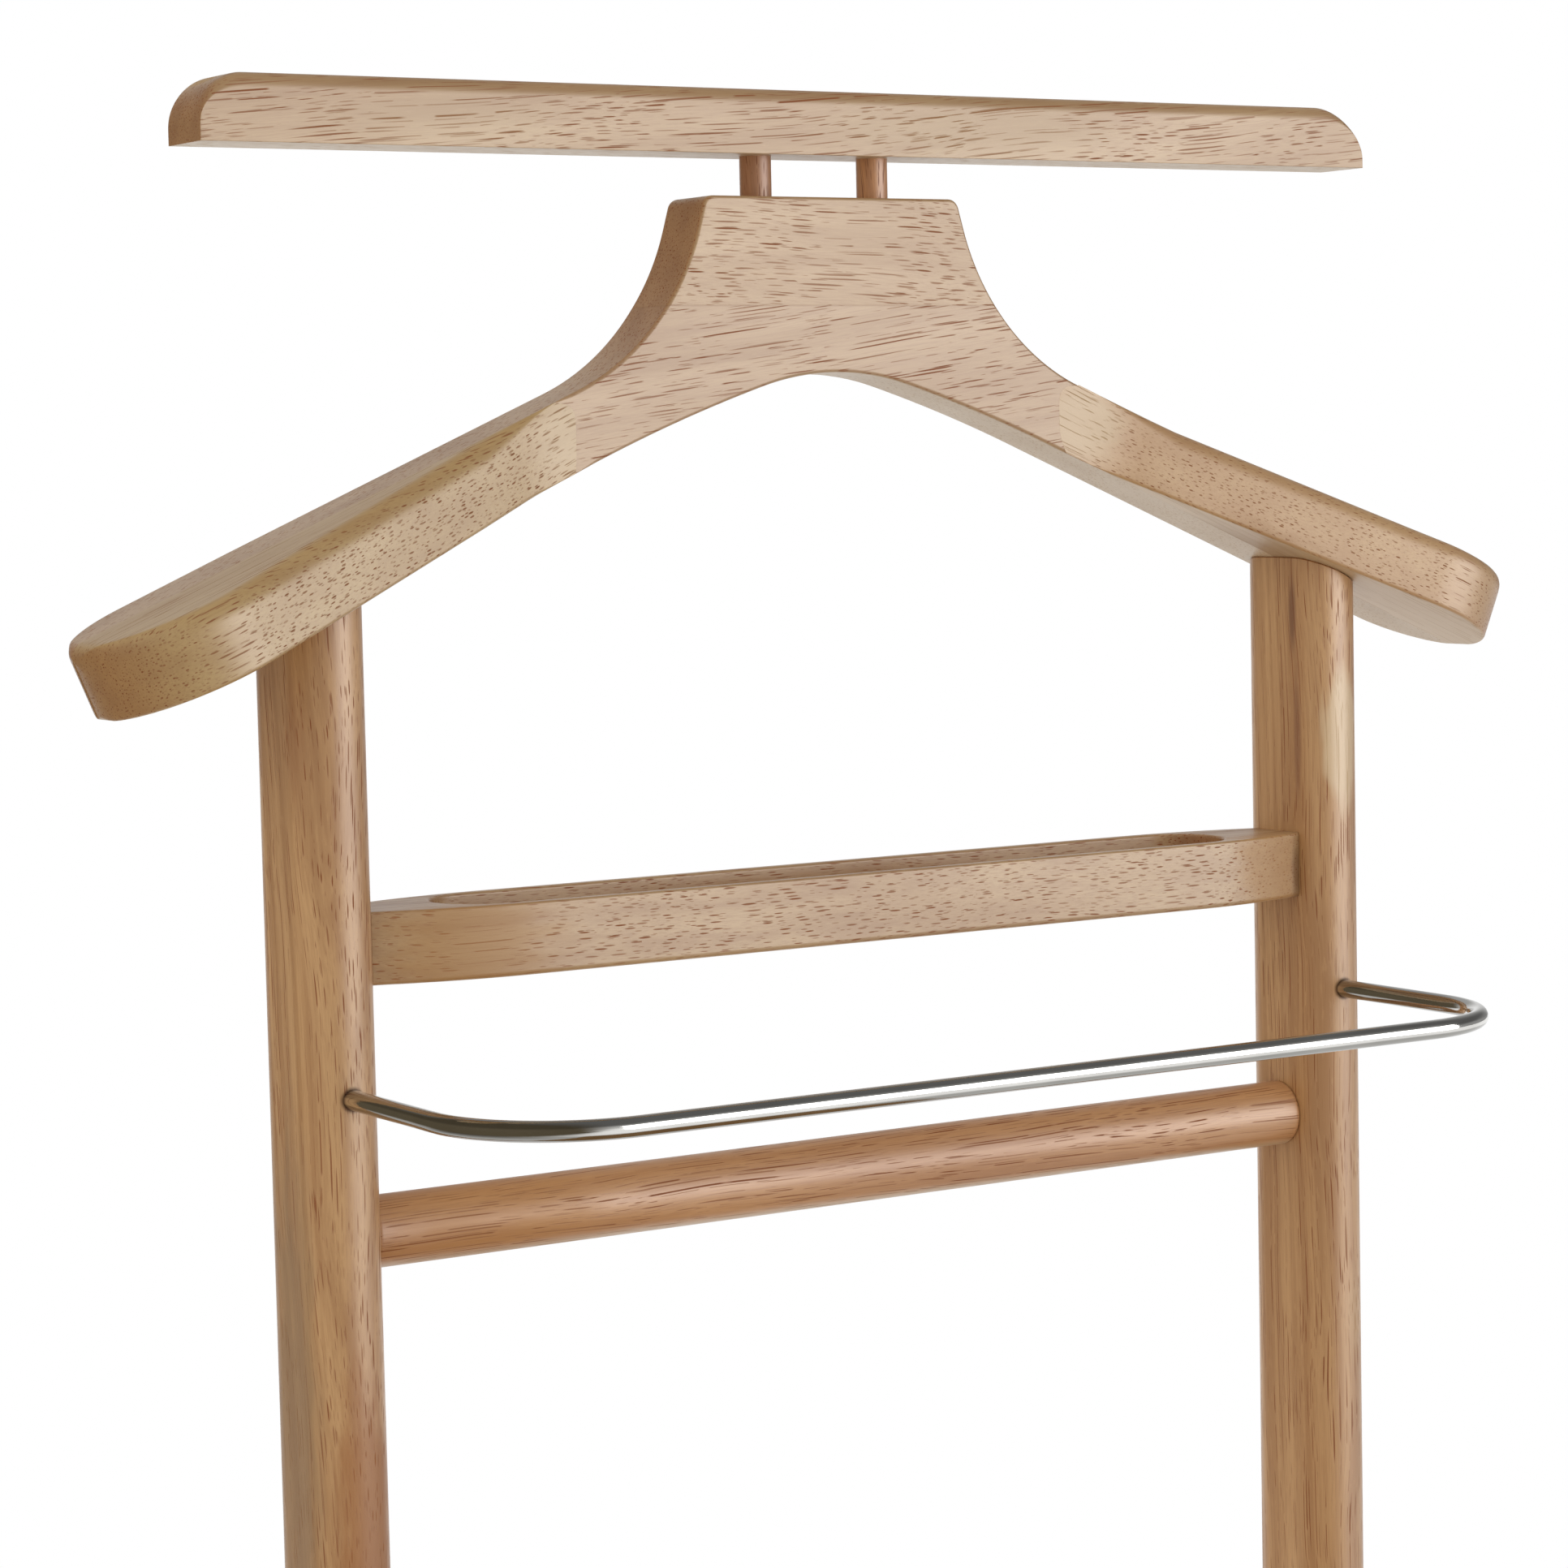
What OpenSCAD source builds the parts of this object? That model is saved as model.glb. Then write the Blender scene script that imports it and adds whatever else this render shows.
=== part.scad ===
// Clothes valet chair: a wooden chair whose back carries a contoured coat hanger,
// a trouser bar, an accessory tray, a wire tie bar and a rail, over a shoe rack.
// Millimetres, +Z up, the front at -Y, +X to the right as seen from the front.
// The origin is on the floor, in the middle of the footprint.

/* [Back posts] */
// Height of the hanger's flat top, measured along the leaning posts
hanger_height = 1050; // [1020:1:1080]
// Backward lean of the posts, in degrees
rake = 2.35; // [1.5:0.05:3]
// Clear width between the posts
post_gap = 314; // [304:1:324]
// Width of a post across the front
post_w = 21.5; // [20:0.5:24]
// Depth of a post from front to back
post_d = 37; // [34:0.5:40]

/* [Hanger] */
// Thickness of the hanger's core boards
board_t = 20.5; // [18:0.5:22]
// Slope of the hanger's arms, in degrees
slope = 23; // [20:0.5:25]
// Depth of the arms' top plane below the hanger's flat top, square to the slope
arm_drop = 16.4; // [14:0.1:19]
// Thickness of the arms, square to the slope
arm_t = 20.3; // [18:0.1:22]
// Reach of a tip from the middle, measured down the slope
tip_reach = 263; // [250:0.1:270]
// Half the width of the hanger's flat top
yoke_half = 42.3; // [38:0.1:48]
// Steepness of the sides of the neck, in degrees
flank = 74; // [65:1:80]
// Radius of the hollow between the neck and an arm
neck_r = 70; // [60:1:76]
// Radius of the two corners of the flat top
yoke_corner_r = 3.5; // [2:0.5:6]
// Depth of the glue line between the two core boards, below the flat top
glue_line = 30.5; // [26:0.5:36]
// Radius in the middle of the arch under the hanger
arch_r = 82; // [70:1:95]
// Half angle of the arch's middle round, in degrees
arch_half = 17.2; // [14:0.2:19]
// Radius of the long curve that eases the arch into the arms
ease_r = 520; // [400:10:600]
// Forward turn of an arm's front face, in degrees
flare = 16.1; // [12:0.1:18]
// Radius of a tip's front corner
tip_front_r = 30; // [26:0.5:32]
// Radius of a tip's back corner
tip_back_r = 24; // [20:0.1:28]
// Round-over along an arm's upper front edge
shoulder_r = 6; // [4:0.5:9]

/* [Trouser bar] */
// Length of the trouser bar
bar_l = 388; // [360:1:410]
// Height of the trouser bar
bar_h = 18.3; // [17.5:0.1:21]
// Gap between the bar and the hanger
bar_gap = 11.7; // [8:0.1:14]
// Radius of the bar's two upper corners
bar_corner_r = 15.5; // [12:0.5:17]
// Round-over along the bar's upper front edge
bar_edge_r = 4.4; // [2:0.1:6]
// Round-over along the bar's upper back edge
bar_back_r = 1; // [0.5:0.5:4]
// Distance between the bar's two dowels
bar_dowel_gap = 39.3; // [30:0.1:60]
// Diameter of the bar's dowels
bar_dowel_d = 9; // [8:0.5:10]

/* [Accessory tray] */
// Depth of the tray's top face below the hanger's flat top, along the posts
tray_drop = 190.5; // [180:0.1:200]
// Thickness of the tray
tray_t = 19.7; // [18:0.1:22]
// Width of the tray from front to back, in its straight middle
tray_w = 37.6; // [36:0.1:42]
// Length of the tray's straight middle
tray_mid_l = 224; // [200:1:240]
// Radius of the curves that narrow the tray towards the posts
tray_curve_r = 125; // [115:1:140]
// Length of the hollow in the tray
hollow_l = 265; // [240:1:270]
// Width of the hollow in the tray
hollow_w = 30.4; // [26:0.1:32]
// Depth of the hollow in the tray
hollow_depth = 9; // [6:0.5:12]

/* [Tie bar and back rail] */
// Depth of the wire tie bar below the hanger's flat top, along the posts
tie_drop = 238.6; // [230:0.1:250]
// Reach of the tie bar in front of the posts' middle
tie_reach = 103; // [90:1:115]
// Diameter of the tie bar
tie_d = 5.5; // [5:0.1:7]
// Radius of the tie bar's bends, to the middle of the wire
tie_bend_r = 38; // [30:1:45]
// Depth of the back rail below the hanger's flat top, along the posts
rail_drop = 277.9; // [268:0.1:290]
// Diameter of the back rail and the shoe rails
rail_d = 19.6; // [18:0.1:22]
// Diameter of a rail's turned tenons
tenon_d = 12; // [10:0.5:14]
// Length of a rail's turned tenons
tenon_l = 12; // [8:1:14]

/* [Seat] */
// Height of the seat's top
seat_h = 450; // [420:1:470]
// Thickness of the seat
seat_t = 20; // [18:0.5:24]
// Width of the seat
seat_w = 400; // [380:1:420]
// Reach of the seat's front edge from the posts' feet
seat_reach = 368; // [350:1:380]
// Radius of the seat's front corners
seat_corner_r = 40; // [20:1:60]
// Set-back of the front legs under the seat's front edge
leg_setback = 30; // [20:1:40]

/* [Under-frame] */
// Thickness of the aprons and stretchers
apron_t = 18; // [16:0.5:20]
// Height of the aprons
apron_h = 45; // [42:1:60]
// Height of the side stretchers
stretcher_h = 30; // [26:1:36]
// Height of the stretchers' middle above the floor
stretcher_z = 135; // [110:1:170]
// Distance between neighbouring shoe rails
shoe_rail_pitch = 95; // [80:1:105]
// Depth that the side aprons and stretchers are let into the rounded legs
housing = 6; // [5:0.5:8]

/* [Fixings] */
// Diameter of the glued dowels in the frame
dowel_d = 8; // [6:0.5:9]
// Length of the glued dowels in the frame
dowel_l = 30; // [24:1:34]
// Leg length of a corner block
block_l = 44; // [38:1:50]
// Height of a corner block
block_h = 28; // [22:1:32]
// Shank diameter of the wood screws
screw_d = 4; // [3.5:0.1:4.5]
// Head diameter of the wood screws
screw_head_d = 8; // [7:0.1:9]
// Diameter of a foot glide
glide_d = 18; // [14:1:20]
// Thickness of a foot glide
glide_t = 3; // [2:0.5:5]

/* [Hidden] */
$fn = 64;

beech = [0.80, 0.67, 0.53];
dark_beech = [0.66, 0.50, 0.36];
chrome = [0.78, 0.79, 0.80];
zinc = [0.62, 0.63, 0.62];
nylon = [0.25, 0.24, 0.23];

arc_steps = 8;
big = 2000;

// Places of the posts, and of the floor point under them that centres the footprint.
post_x = (post_gap + post_w) / 2;
bar_top = bar_gap + bar_h;
back_reach = (hanger_height + bar_top) * sin(rake) + board_t * cos(rake);
back_y = (seat_reach - back_reach) / 2;
leg_y = back_y - seat_reach + leg_setback + post_d / 2;
seat_under = seat_h - seat_t;
side = [-1, 1];

// Front view of the hanger: heights are measured from its flat top.
// The flank leaves the top corner, and an arc turns it into the arm's upper line.
arm_line = -arm_drop / cos(slope);
arm_under = -(arm_drop + arm_t) / cos(slope);
neck_dx = neck_r * (sin(flank) - sin(slope));
neck_dz = neck_r * (cos(slope) - cos(flank));
neck_z = (arm_line + neck_dz - tan(slope) * (yoke_half + neck_dx))
    / (1 - tan(slope) / tan(flank));
neck_x = yoke_half - neck_z / tan(flank);
neck_centre = [neck_x + neck_r * sin(flank), neck_z + neck_r * cos(flank)];
glue_angle = acos((neck_centre[1] + glue_line) / neck_r);
arch_dx = arch_r * sin(arch_half) + ease_r * (sin(slope) - sin(arch_half));
arch_dz = arch_r * (1 - cos(arch_half)) + ease_r * (cos(arch_half) - cos(slope));
arch_top = arm_under - tan(slope) * arch_dx + arch_dz;

// Points of an arc about a centre, from one angle to another.
function arc(centre, r, from, to, steps = arc_steps) =
    [for (i = [0:steps]) centre + r * [cos(from + (to - from) * i / steps),
        sin(from + (to - from) * i / steps)]];
function mirrored(points) =
    concat(points, [for (i = [len(points) - 1:-1:0]) [-points[i][0], points[i][1]]]);

// The concave side of the neck, from one steepness to another.
function neck_arc(from, to) =
    arc(neck_centre, neck_r, 270 - from, 270 - to);

// The underside of the arch, from the arm to the middle.
function arch_edge() = concat(
    [for (i = [arc_steps:-1:1])
        let (a = arch_half + (slope - arch_half) * i / arc_steps)
        [arch_r * sin(arch_half) + ease_r * (sin(a) - sin(arch_half)),
            arch_top - arch_r * (1 - cos(arch_half)) - ease_r * (cos(arch_half) - cos(a))]],
    [for (i = [arc_steps:-1:1])
        let (a = arch_half * i / arc_steps)
        [arch_r * sin(a), arch_top - arch_r * (1 - cos(a))]],
    [[0.01, arch_top]]);

// A point of the front view, given down the slope and square to it.
function on_arm(down, up) =
    [down * cos(slope) + up * sin(slope), up * cos(slope) - down * sin(slope)];

// Plan of an arm, seen square to its slope: x runs down the slope, y to the back.
// The front face leaves the core's front plane in a short blend, and the tip's two
// rounds end in a narrow flat.
tip_y = board_t - tip_back_r;
tip_flat = 0.5;
front_centre = [tip_reach + tip_flat - tip_front_r, tip_y];
back_centre = [tip_reach + tip_flat - tip_back_r, tip_y];
flare_end = front_centre - tip_front_r * [sin(flare), cos(flare)];
flare_start = flare_end[0] + flare_end[1] / tan(flare);
flare_blend = 13;
loft_start = flare_start - flare_blend + 6;
function plan_front(x) =
    x < flare_start + flare_blend ?
        -tan(flare) * pow(x - flare_start + flare_blend, 2) / (4 * flare_blend) :
    x < flare_end[0] ? -tan(flare) * (x - flare_start) :
    front_centre[1] - sqrt(pow(tip_front_r, 2) - pow(x - front_centre[0], 2));
function plan_back(x) =
    x < back_centre[0] ? board_t :
    back_centre[1] + sqrt(pow(tip_back_r, 2) - pow(x - back_centre[0], 2));

// Places along an arm where its section is drawn, closer together round the tip.
arm_stations = concat(
    [for (i = [0:4]) loft_start + (flare_start + flare_blend - loft_start) * i / 4],
    [for (x = [flare_start + flare_blend + 20:20:flare_end[0] - 10]) x],
    [flare_end[0]],
    [for (a = [0:10:70]) front_centre[0] + tip_front_r * sin(a)],
    [tip_reach]);

// A section of an arm: square but for the round-over, which grows with the block's depth.
function arm_section(x) =
    let (front = plan_front(x), back = plan_back(x), low = -arm_drop - arm_t)
    let (r = min(shoulder_r, 0.8 - front, (back - front) * 0.45))
    [for (p = concat([[back, low], [back, -arm_drop]],
        arc([front + r, -arm_drop - r], r, 90, 180, 5), [[front, low]])) [x, p[0], p[1]]];

// Moves: the leaning back frame, the hanger's own height in it, and an arm's slope.
module back_frame() {
    translate([0, back_y, 0]) rotate([-rake, 0, 0]) children();
}

module at_hanger(drop = 0) {
    back_frame() translate([0, 0, hanger_height - drop]) children();
}

module on_side(s) {
    if (s > 0) children();
    else mirror([1, 0, 0]) children();
}

module each_side() {
    for (s = side) on_side(s) children();
}

// Shapes: a board drawn in the front view, an upright with rounded front and back,
// a cylinder between two sides, and a wood screw pointing up.
module board(points, thickness) {
    translate([0, thickness, 0]) rotate([90, 0, 0])
        linear_extrude(height = thickness) polygon(points);
}

module upright(height) {
    straight = post_d - post_w;
    linear_extrude(height = height) union() {
        translate([-post_w / 2, -straight / 2]) square([post_w, straight]);
        for (y = side) translate([0, y * straight / 2]) circle(d = post_w);
    }
}

module across(d, length) {
    translate([-length / 2, 0, 0]) rotate([0, 90, 0]) cylinder(d = d, h = length);
}

module screw(length) {
    cylinder(d1 = screw_head_d, d2 = screw_d, h = 3);
    cylinder(d = screw_d, h = length);
}

// The shaped arm, as a loft through its sections, and the space before the core boards.
module arm_form() {
    rings = [for (x = arm_stations) arm_section(x)];
    n = len(rings[0]);
    count = len(rings);
    points = [for (ring = rings) each ring];
    sides = [for (k = [0:count - 2], i = [0:n - 1])
        let (a = k * n + i, b = k * n + (i + 1) % n)
        each [[a, a + n, b], [b, a + n, b + n]]];
    caps = [[for (i = [0:n - 1]) i], [for (i = [n - 1:-1:0]) (count - 1) * n + i]];
    rotate([0, slope, 0]) polyhedron(points = points, faces = concat(sides, caps));
}

module front_half() {
    translate([-big / 2, -big, -big / 2]) cube([big, big, big]);
}

// Trouser bar and its dowels
module bar_dowel_places() {
    for (s = side) translate([s * bar_dowel_gap / 2, board_t / 2, 0]) children();
}

module bar_dowel_set() {
    into_board = 25;
    into_bar = 14;
    bar_dowel_places() translate([0, 0, -into_board])
        cylinder(d = bar_dowel_d, h = into_board + bar_gap + into_bar);
}

module top_bar() {
    half = bar_l / 2;
    outline = mirrored(concat([[half, bar_gap]],
        arc([half - bar_corner_r, bar_top - bar_corner_r], bar_corner_r, 0, 90, 10)));
    profile = concat([[0, bar_gap], [board_t, bar_gap]],
        arc([board_t - bar_back_r, bar_top - bar_back_r], bar_back_r, 0, 90, 3),
        arc([bar_edge_r, bar_top - bar_edge_r], bar_edge_r, 90, 180, 5));
    color(beech) at_hanger() difference() {
        intersection() {
            board(outline, board_t);
            rotate([90, 0, 90]) translate([0, 0, -half])
                linear_extrude(height = bar_l) polygon(profile);
        }
        bar_dowel_set();
    }
}

module top_bar_dowels() {
    color(dark_beech) at_hanger() bar_dowel_set();
}

// Hanger: two core boards glued edge to edge, and a block glued in front of each arm
module yoke_top_board() {
    corner_centre = [yoke_half - yoke_corner_r * tan(flank / 2), -yoke_corner_r];
    outline = mirrored(concat(neck_arc(glue_angle, flank),
        arc(corner_centre, yoke_corner_r, 90 - flank, 90, 4)));
    color(beech) at_hanger() difference() {
        board(outline, board_t);
        bar_dowel_set();
    }
}

module core_board() {
    outline = mirrored(concat(neck_arc(glue_angle, slope),
        [on_arm(tip_reach, -arm_drop), on_arm(tip_reach, -arm_drop - arm_t)], arch_edge()));
    board(outline, board_t);
}

// What the round of a tip's back corner cuts away
module tip_cut() {
    clear = 5;
    rotate([0, slope, 0]) translate([0, 0, -arm_drop - arm_t - clear])
        linear_extrude(height = arm_t + 2 * clear)
            polygon(concat(arc(back_centre, tip_back_r, 0, 90, 12),
                [back_centre + [0, tip_back_r + clear],
                back_centre + [tip_back_r + clear, tip_back_r + clear],
                back_centre + [tip_back_r + clear, 0]]));
}

module hanger_dowel_set() {
    into_arm = 14;
    into_post = 20;
    joint = arm_under - tan(slope) * post_x;
    for (s = side, y = [-9, 9])
        translate([s * post_x, y, joint - into_post])
            cylinder(d = dowel_d, h = into_post + into_arm);
}

module hanger_core() {
    color(beech) at_hanger() difference() {
        core_board();
        each_side() tip_cut();
        hanger_dowel_set();
    }
}

module shoulder_block(s) {
    color(beech) at_hanger() difference() {
        intersection() {
            on_side(s) arm_form();
            front_half();
        }
        hanger_dowel_set();
    }
}

module shoulder_block_left() {
    shoulder_block(-1);
}

module shoulder_block_right() {
    shoulder_block(1);
}

module hanger_dowels() {
    color(dark_beech) at_hanger() hanger_dowel_set();
}

// Back posts: cut to the arms' underside at the top and level above the glides
module post_blank(s) {
    outline = [for (p = [[post_x - post_w, 0], [post_x + post_w, 0],
        [post_x + post_w, hanger_height + arm_under - tan(slope) * (post_x + post_w)],
        [post_x - post_w, hanger_height + arm_under - tan(slope) * (post_x - post_w)]])
        [s * p[0], p[1]]];
    difference() {
        back_frame() intersection() {
            translate([s * post_x, 0, -glide_t]) upright(hanger_height);
            translate([0, -post_d, 0]) board(outline, 2 * post_d);
        }
        translate([-big / 2, -big / 2, glide_t - big]) cube([big, big, big]);
    }
}

module post(s) {
    color(beech) difference() {
        post_blank(s);
        at_hanger() hanger_dowel_set();
        at_hanger(tray_drop) tray_dowel_set();
        tie_wire();
        back_rail_blank();
        side_members();
        apron_dowel_set();
        stretcher_dowel_set();
        glide_set();
    }
}

module post_left() {
    post(-1);
}

module post_right() {
    post(1);
}

// Accessory tray between the posts
module tray_dowel_set() {
    for (s = side, y = [-5.5, 5.5])
        translate([s * post_gap / 2, y, -tray_t / 2]) across(6, dowel_l);
}

module accessory_tray() {
    half_w = tray_w / 2;
    half_mid = tray_mid_l / 2;
    turn = asin((post_gap / 2 - half_mid) / tray_curve_r);
    end_w = half_w - tray_curve_r * (1 - cos(turn));
    quarter = concat([[post_gap / 2, end_w]],
        arc([half_mid, half_w - tray_curve_r], tray_curve_r, 90 - turn, 90, 10));
    outline = concat(mirrored(quarter), [for (p = mirrored(quarter)) -p]);
    hollow_r = hollow_w / 2;
    hollow = concat(arc([hollow_l / 2 - hollow_r, 0], hollow_r, -90, 90, 16),
        arc([hollow_r - hollow_l / 2, 0], hollow_r, 90, 270, 16));
    color(beech) at_hanger(tray_drop) difference() {
        translate([0, 0, -tray_t]) linear_extrude(height = tray_t) polygon(outline);
        translate([0, 0, -hollow_depth]) linear_extrude(height = tray_t) polygon(hollow);
        tray_dowel_set();
    }
}

module tray_dowels() {
    color(dark_beech) at_hanger(tray_drop) tray_dowel_set();
}

// Wire tie bar: two legs into the posts, two bends and the front run
module tie_wire() {
    leg_l = tie_reach - tie_bend_r - 4.5;
    at_hanger(tie_drop) {
        translate([0, -tie_reach, 0]) across(tie_d, 2 * (post_x - tie_bend_r));
        each_side() {
            translate([post_x - tie_bend_r, tie_bend_r - tie_reach, 0]) rotate([0, 0, -90])
                rotate_extrude(angle = 90) translate([tie_bend_r, 0]) circle(d = tie_d);
            translate([post_x, tie_bend_r - tie_reach, 0]) rotate([-90, 0, 0])
                cylinder(d = tie_d, h = leg_l);
        }
    }
}

module tie_bar() {
    color(chrome) tie_wire();
}

// Rails with turned tenons
module turned_rail(length) {
    across(rail_d, length);
    across(tenon_d, length + 2 * tenon_l);
}

module back_rail_blank() {
    at_hanger(rail_drop) turned_rail(post_gap);
}

module back_rail() {
    color(dark_beech) back_rail_blank();
}

// Seat: its back tongue passes between the posts
module seat_panel() {
    half = seat_w / 2;
    front = back_y - seat_reach;
    shoulder = back_y + seat_under * tan(rake) - post_d / 2 - 1;
    tongue = shoulder + post_d + 1;
    gap_side = post_gap / 2 - 1;
    outline = mirrored(concat([[gap_side, tongue], [gap_side, shoulder], [half, shoulder]],
        arc([half - seat_corner_r, front + seat_corner_r], seat_corner_r, 0, -90)));
    color(beech) difference() {
        translate([0, 0, seat_under]) linear_extrude(height = seat_t) polygon(outline);
        seat_screw_set();
    }
}

// Aprons and stretchers
apron_z = seat_under - apron_h;
front_apron_y = leg_y - 5;
rear_apron_y = back_y + (seat_under - apron_h / 2) * tan(rake);

module cross_apron(y) {
    color(beech) difference() {
        translate([-post_gap / 2, y - apron_t / 2, apron_z]) cube([post_gap, apron_t, apron_h]);
        apron_dowel_set();
        block_screw_set();
    }
}

module seat_apron_front() {
    cross_apron(front_apron_y);
}

module seat_apron_rear() {
    cross_apron(rear_apron_y);
}

function housed_front() = leg_y + post_d / 2 - housing;
function housed_back(z) = back_y + z * tan(rake) - post_d / 2 + housing;

module side_member(s, z, height) {
    front = housed_front();
    translate([s * post_x - apron_t / 2, front, z])
        cube([apron_t, housed_back(z + height) - front, height]);
}

module side_members() {
    for (s = side) {
        side_member(s, apron_z, apron_h);
        side_member(s, stretcher_z - stretcher_h / 2, stretcher_h);
    }
}

module side_apron(s) {
    color(beech) difference() {
        side_member(s, apron_z, apron_h);
        apron_dowel_set();
        block_screw_set();
    }
}

module seat_apron_left() {
    side_apron(-1);
}

module seat_apron_right() {
    side_apron(1);
}

module side_stretcher(s) {
    color(beech) difference() {
        side_member(s, stretcher_z - stretcher_h / 2, stretcher_h);
        stretcher_dowel_set();
        for (place = [-1:1]) shoe_rail_blank(place);
    }
}

module side_stretcher_left() {
    side_stretcher(-1);
}

module side_stretcher_right() {
    side_stretcher(1);
}

// Front legs
module front_leg(s) {
    color(beech) difference() {
        translate([s * post_x, leg_y, glide_t]) upright(seat_under - glide_t);
        side_members();
        apron_dowel_set();
        stretcher_dowel_set();
        glide_set();
    }
}

module front_leg_left() {
    front_leg(-1);
}

module front_leg_right() {
    front_leg(1);
}

// Shoe rails between the side stretchers
shoe_middle = (housed_front() + housed_back(stretcher_z)) / 2;

module shoe_rail_blank(place) {
    translate([0, shoe_middle + place * shoe_rail_pitch, stretcher_z])
        turned_rail(2 * post_x - apron_t);
}

module shoe_rail_front() {
    color(dark_beech) shoe_rail_blank(-1);
}

module shoe_rail_middle() {
    color(dark_beech) shoe_rail_blank(0);
}

module shoe_rail_rear() {
    color(dark_beech) shoe_rail_blank(1);
}

// Corner blocks inside the aprons, cut clear of the legs, with their screws
block_x = post_x - apron_t / 2;
leg_clear = 1;
front_corner = front_apron_y + apron_t / 2;
rear_corner = rear_apron_y - apron_t / 2;
// One corner: y grows away from the cross apron, and reach is the leg's depth past it.
function block_outline(reach) = [[block_x - block_l, 0], [block_x - block_l, 6],
    [block_x - 6, block_l], [block_x, block_l], [block_x, reach + leg_clear],
    [post_gap / 2 - leg_clear, reach + leg_clear], [post_gap / 2 - leg_clear, 0]];

module at_corner(s, front) {
    on_side(s) {
        if (front) translate([0, front_corner, 0]) children();
        else translate([0, rear_corner, 0]) mirror([0, 1, 0]) children();
    }
}

module corner_block(front) {
    reach = front ? leg_y + post_d / 2 - front_corner
        : rear_corner - (housed_back(apron_z) - housing);
    translate([0, 0, seat_under - block_h])
        linear_extrude(height = block_h) polygon(block_outline(reach));
}

module block_screw_set() {
    z = seat_under - block_h / 2;
    for (s = side, front = [true, false]) at_corner(s, front) {
        translate([block_x - block_l + 9, 12, z]) rotate([90, 0, 0]) screw(25);
        translate([block_x - 12, block_l - 9, z]) rotate([0, 90, 0]) screw(25);
    }
}

module seat_screw_set() {
    for (s = side, front = [true, false]) at_corner(s, front)
        translate([block_x - 22, 18, seat_under - block_h]) screw(block_h + seat_t - 6);
}

module corner_blocks() {
    color(dark_beech) difference() {
        for (s = side, front = [true, false]) at_corner(s, front) corner_block(front);
        block_screw_set();
        seat_screw_set();
    }
}

module block_screws() {
    color(zinc) block_screw_set();
}

module seat_screws() {
    color(zinc) seat_screw_set();
}

// Dowels of the seat frame and of the stretchers
module apron_dowel_set() {
    middle = seat_under - apron_h / 2;
    side_spread = 15;
    cross_spread = 5.5;
    for (s = side, up = side) {
        for (y = [housed_front(), housed_back(seat_under)])
            translate([s * post_x, y - dowel_l / 2, middle + up * side_spread])
                rotate([-90, 0, 0]) cylinder(d = dowel_d, h = dowel_l);
        for (y = [front_apron_y, rear_apron_y])
            translate([s * post_gap / 2, y, middle + up * cross_spread])
                across(dowel_d, dowel_l);
    }
}

module stretcher_dowel_set() {
    for (s = side, y = [housed_front(), housed_back(stretcher_z + stretcher_h / 2)])
        translate([s * post_x, y - dowel_l / 2, stretcher_z])
            rotate([-90, 0, 0]) cylinder(d = dowel_d, h = dowel_l);
}

module apron_dowels() {
    color(dark_beech) apron_dowel_set();
}

module stretcher_dowels() {
    color(dark_beech) stretcher_dowel_set();
}

// Glides nailed under the four feet
module glide_set() {
    nail_d = 2.5;
    nail_l = 14;
    for (s = side, y = [leg_y, back_y]) translate([s * post_x, y, 0]) {
        cylinder(d = glide_d, h = glide_t);
        cylinder(d = nail_d, h = glide_t + nail_l);
    }
}

module foot_glides() {
    color(nylon) glide_set();
}

top_bar();
top_bar_dowels();
yoke_top_board();
hanger_core();
shoulder_block_left();
shoulder_block_right();
hanger_dowels();
post_left();
post_right();
accessory_tray();
tray_dowels();
tie_bar();
back_rail();
seat_panel();
seat_apron_front();
seat_apron_rear();
seat_apron_left();
seat_apron_right();
front_leg_left();
front_leg_right();
side_stretcher_left();
side_stretcher_right();
shoe_rail_front();
shoe_rail_middle();
shoe_rail_rear();
corner_blocks();
block_screws();
seat_screws();
apron_dowels();
stretcher_dowels();
foot_glides();
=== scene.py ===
import math

import bmesh
import bpy
from mathutils import Euler, Matrix, Vector


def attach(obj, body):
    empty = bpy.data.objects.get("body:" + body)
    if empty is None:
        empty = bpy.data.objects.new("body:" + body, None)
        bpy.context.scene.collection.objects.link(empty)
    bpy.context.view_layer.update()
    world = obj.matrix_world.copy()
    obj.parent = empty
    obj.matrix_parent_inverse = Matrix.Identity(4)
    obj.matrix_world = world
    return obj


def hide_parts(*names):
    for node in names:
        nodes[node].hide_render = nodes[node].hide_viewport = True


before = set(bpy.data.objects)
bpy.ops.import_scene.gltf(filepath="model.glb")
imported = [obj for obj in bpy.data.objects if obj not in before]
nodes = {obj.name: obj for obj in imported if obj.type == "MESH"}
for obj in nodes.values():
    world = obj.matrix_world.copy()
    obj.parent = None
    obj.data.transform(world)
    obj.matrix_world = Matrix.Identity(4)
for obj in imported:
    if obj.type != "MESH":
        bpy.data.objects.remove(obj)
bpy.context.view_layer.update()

scene = bpy.context.scene

# Sizes are in millimetres; only meshes, materials with their patches and the studio are in metres.
chair = {
    "hangerHeight": 1050.0, "rake": 2.35, "backY": 151.617, "legY": -167.883,
    "postX": 167.75, "postGap": 314.0, "boardT": 20.5, "seatUnder": 430.0,
}
metre = 0.001
backY, legY, postX, halfGap = chair["backY"], chair["legY"], chair["postX"], chair["postGap"] / 2
boardT, seatUnder = chair["boardT"], chair["seatUnder"]
sides = {-1: "Left", 1: "Right"}


def sind(angle):
    return math.sin(math.radians(angle))


def cosd(angle):
    return math.cos(math.radians(angle))


def tand(angle):
    return math.tan(math.radians(angle))


def clamped(value):
    return max(0.0, min(1.0, value))


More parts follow.
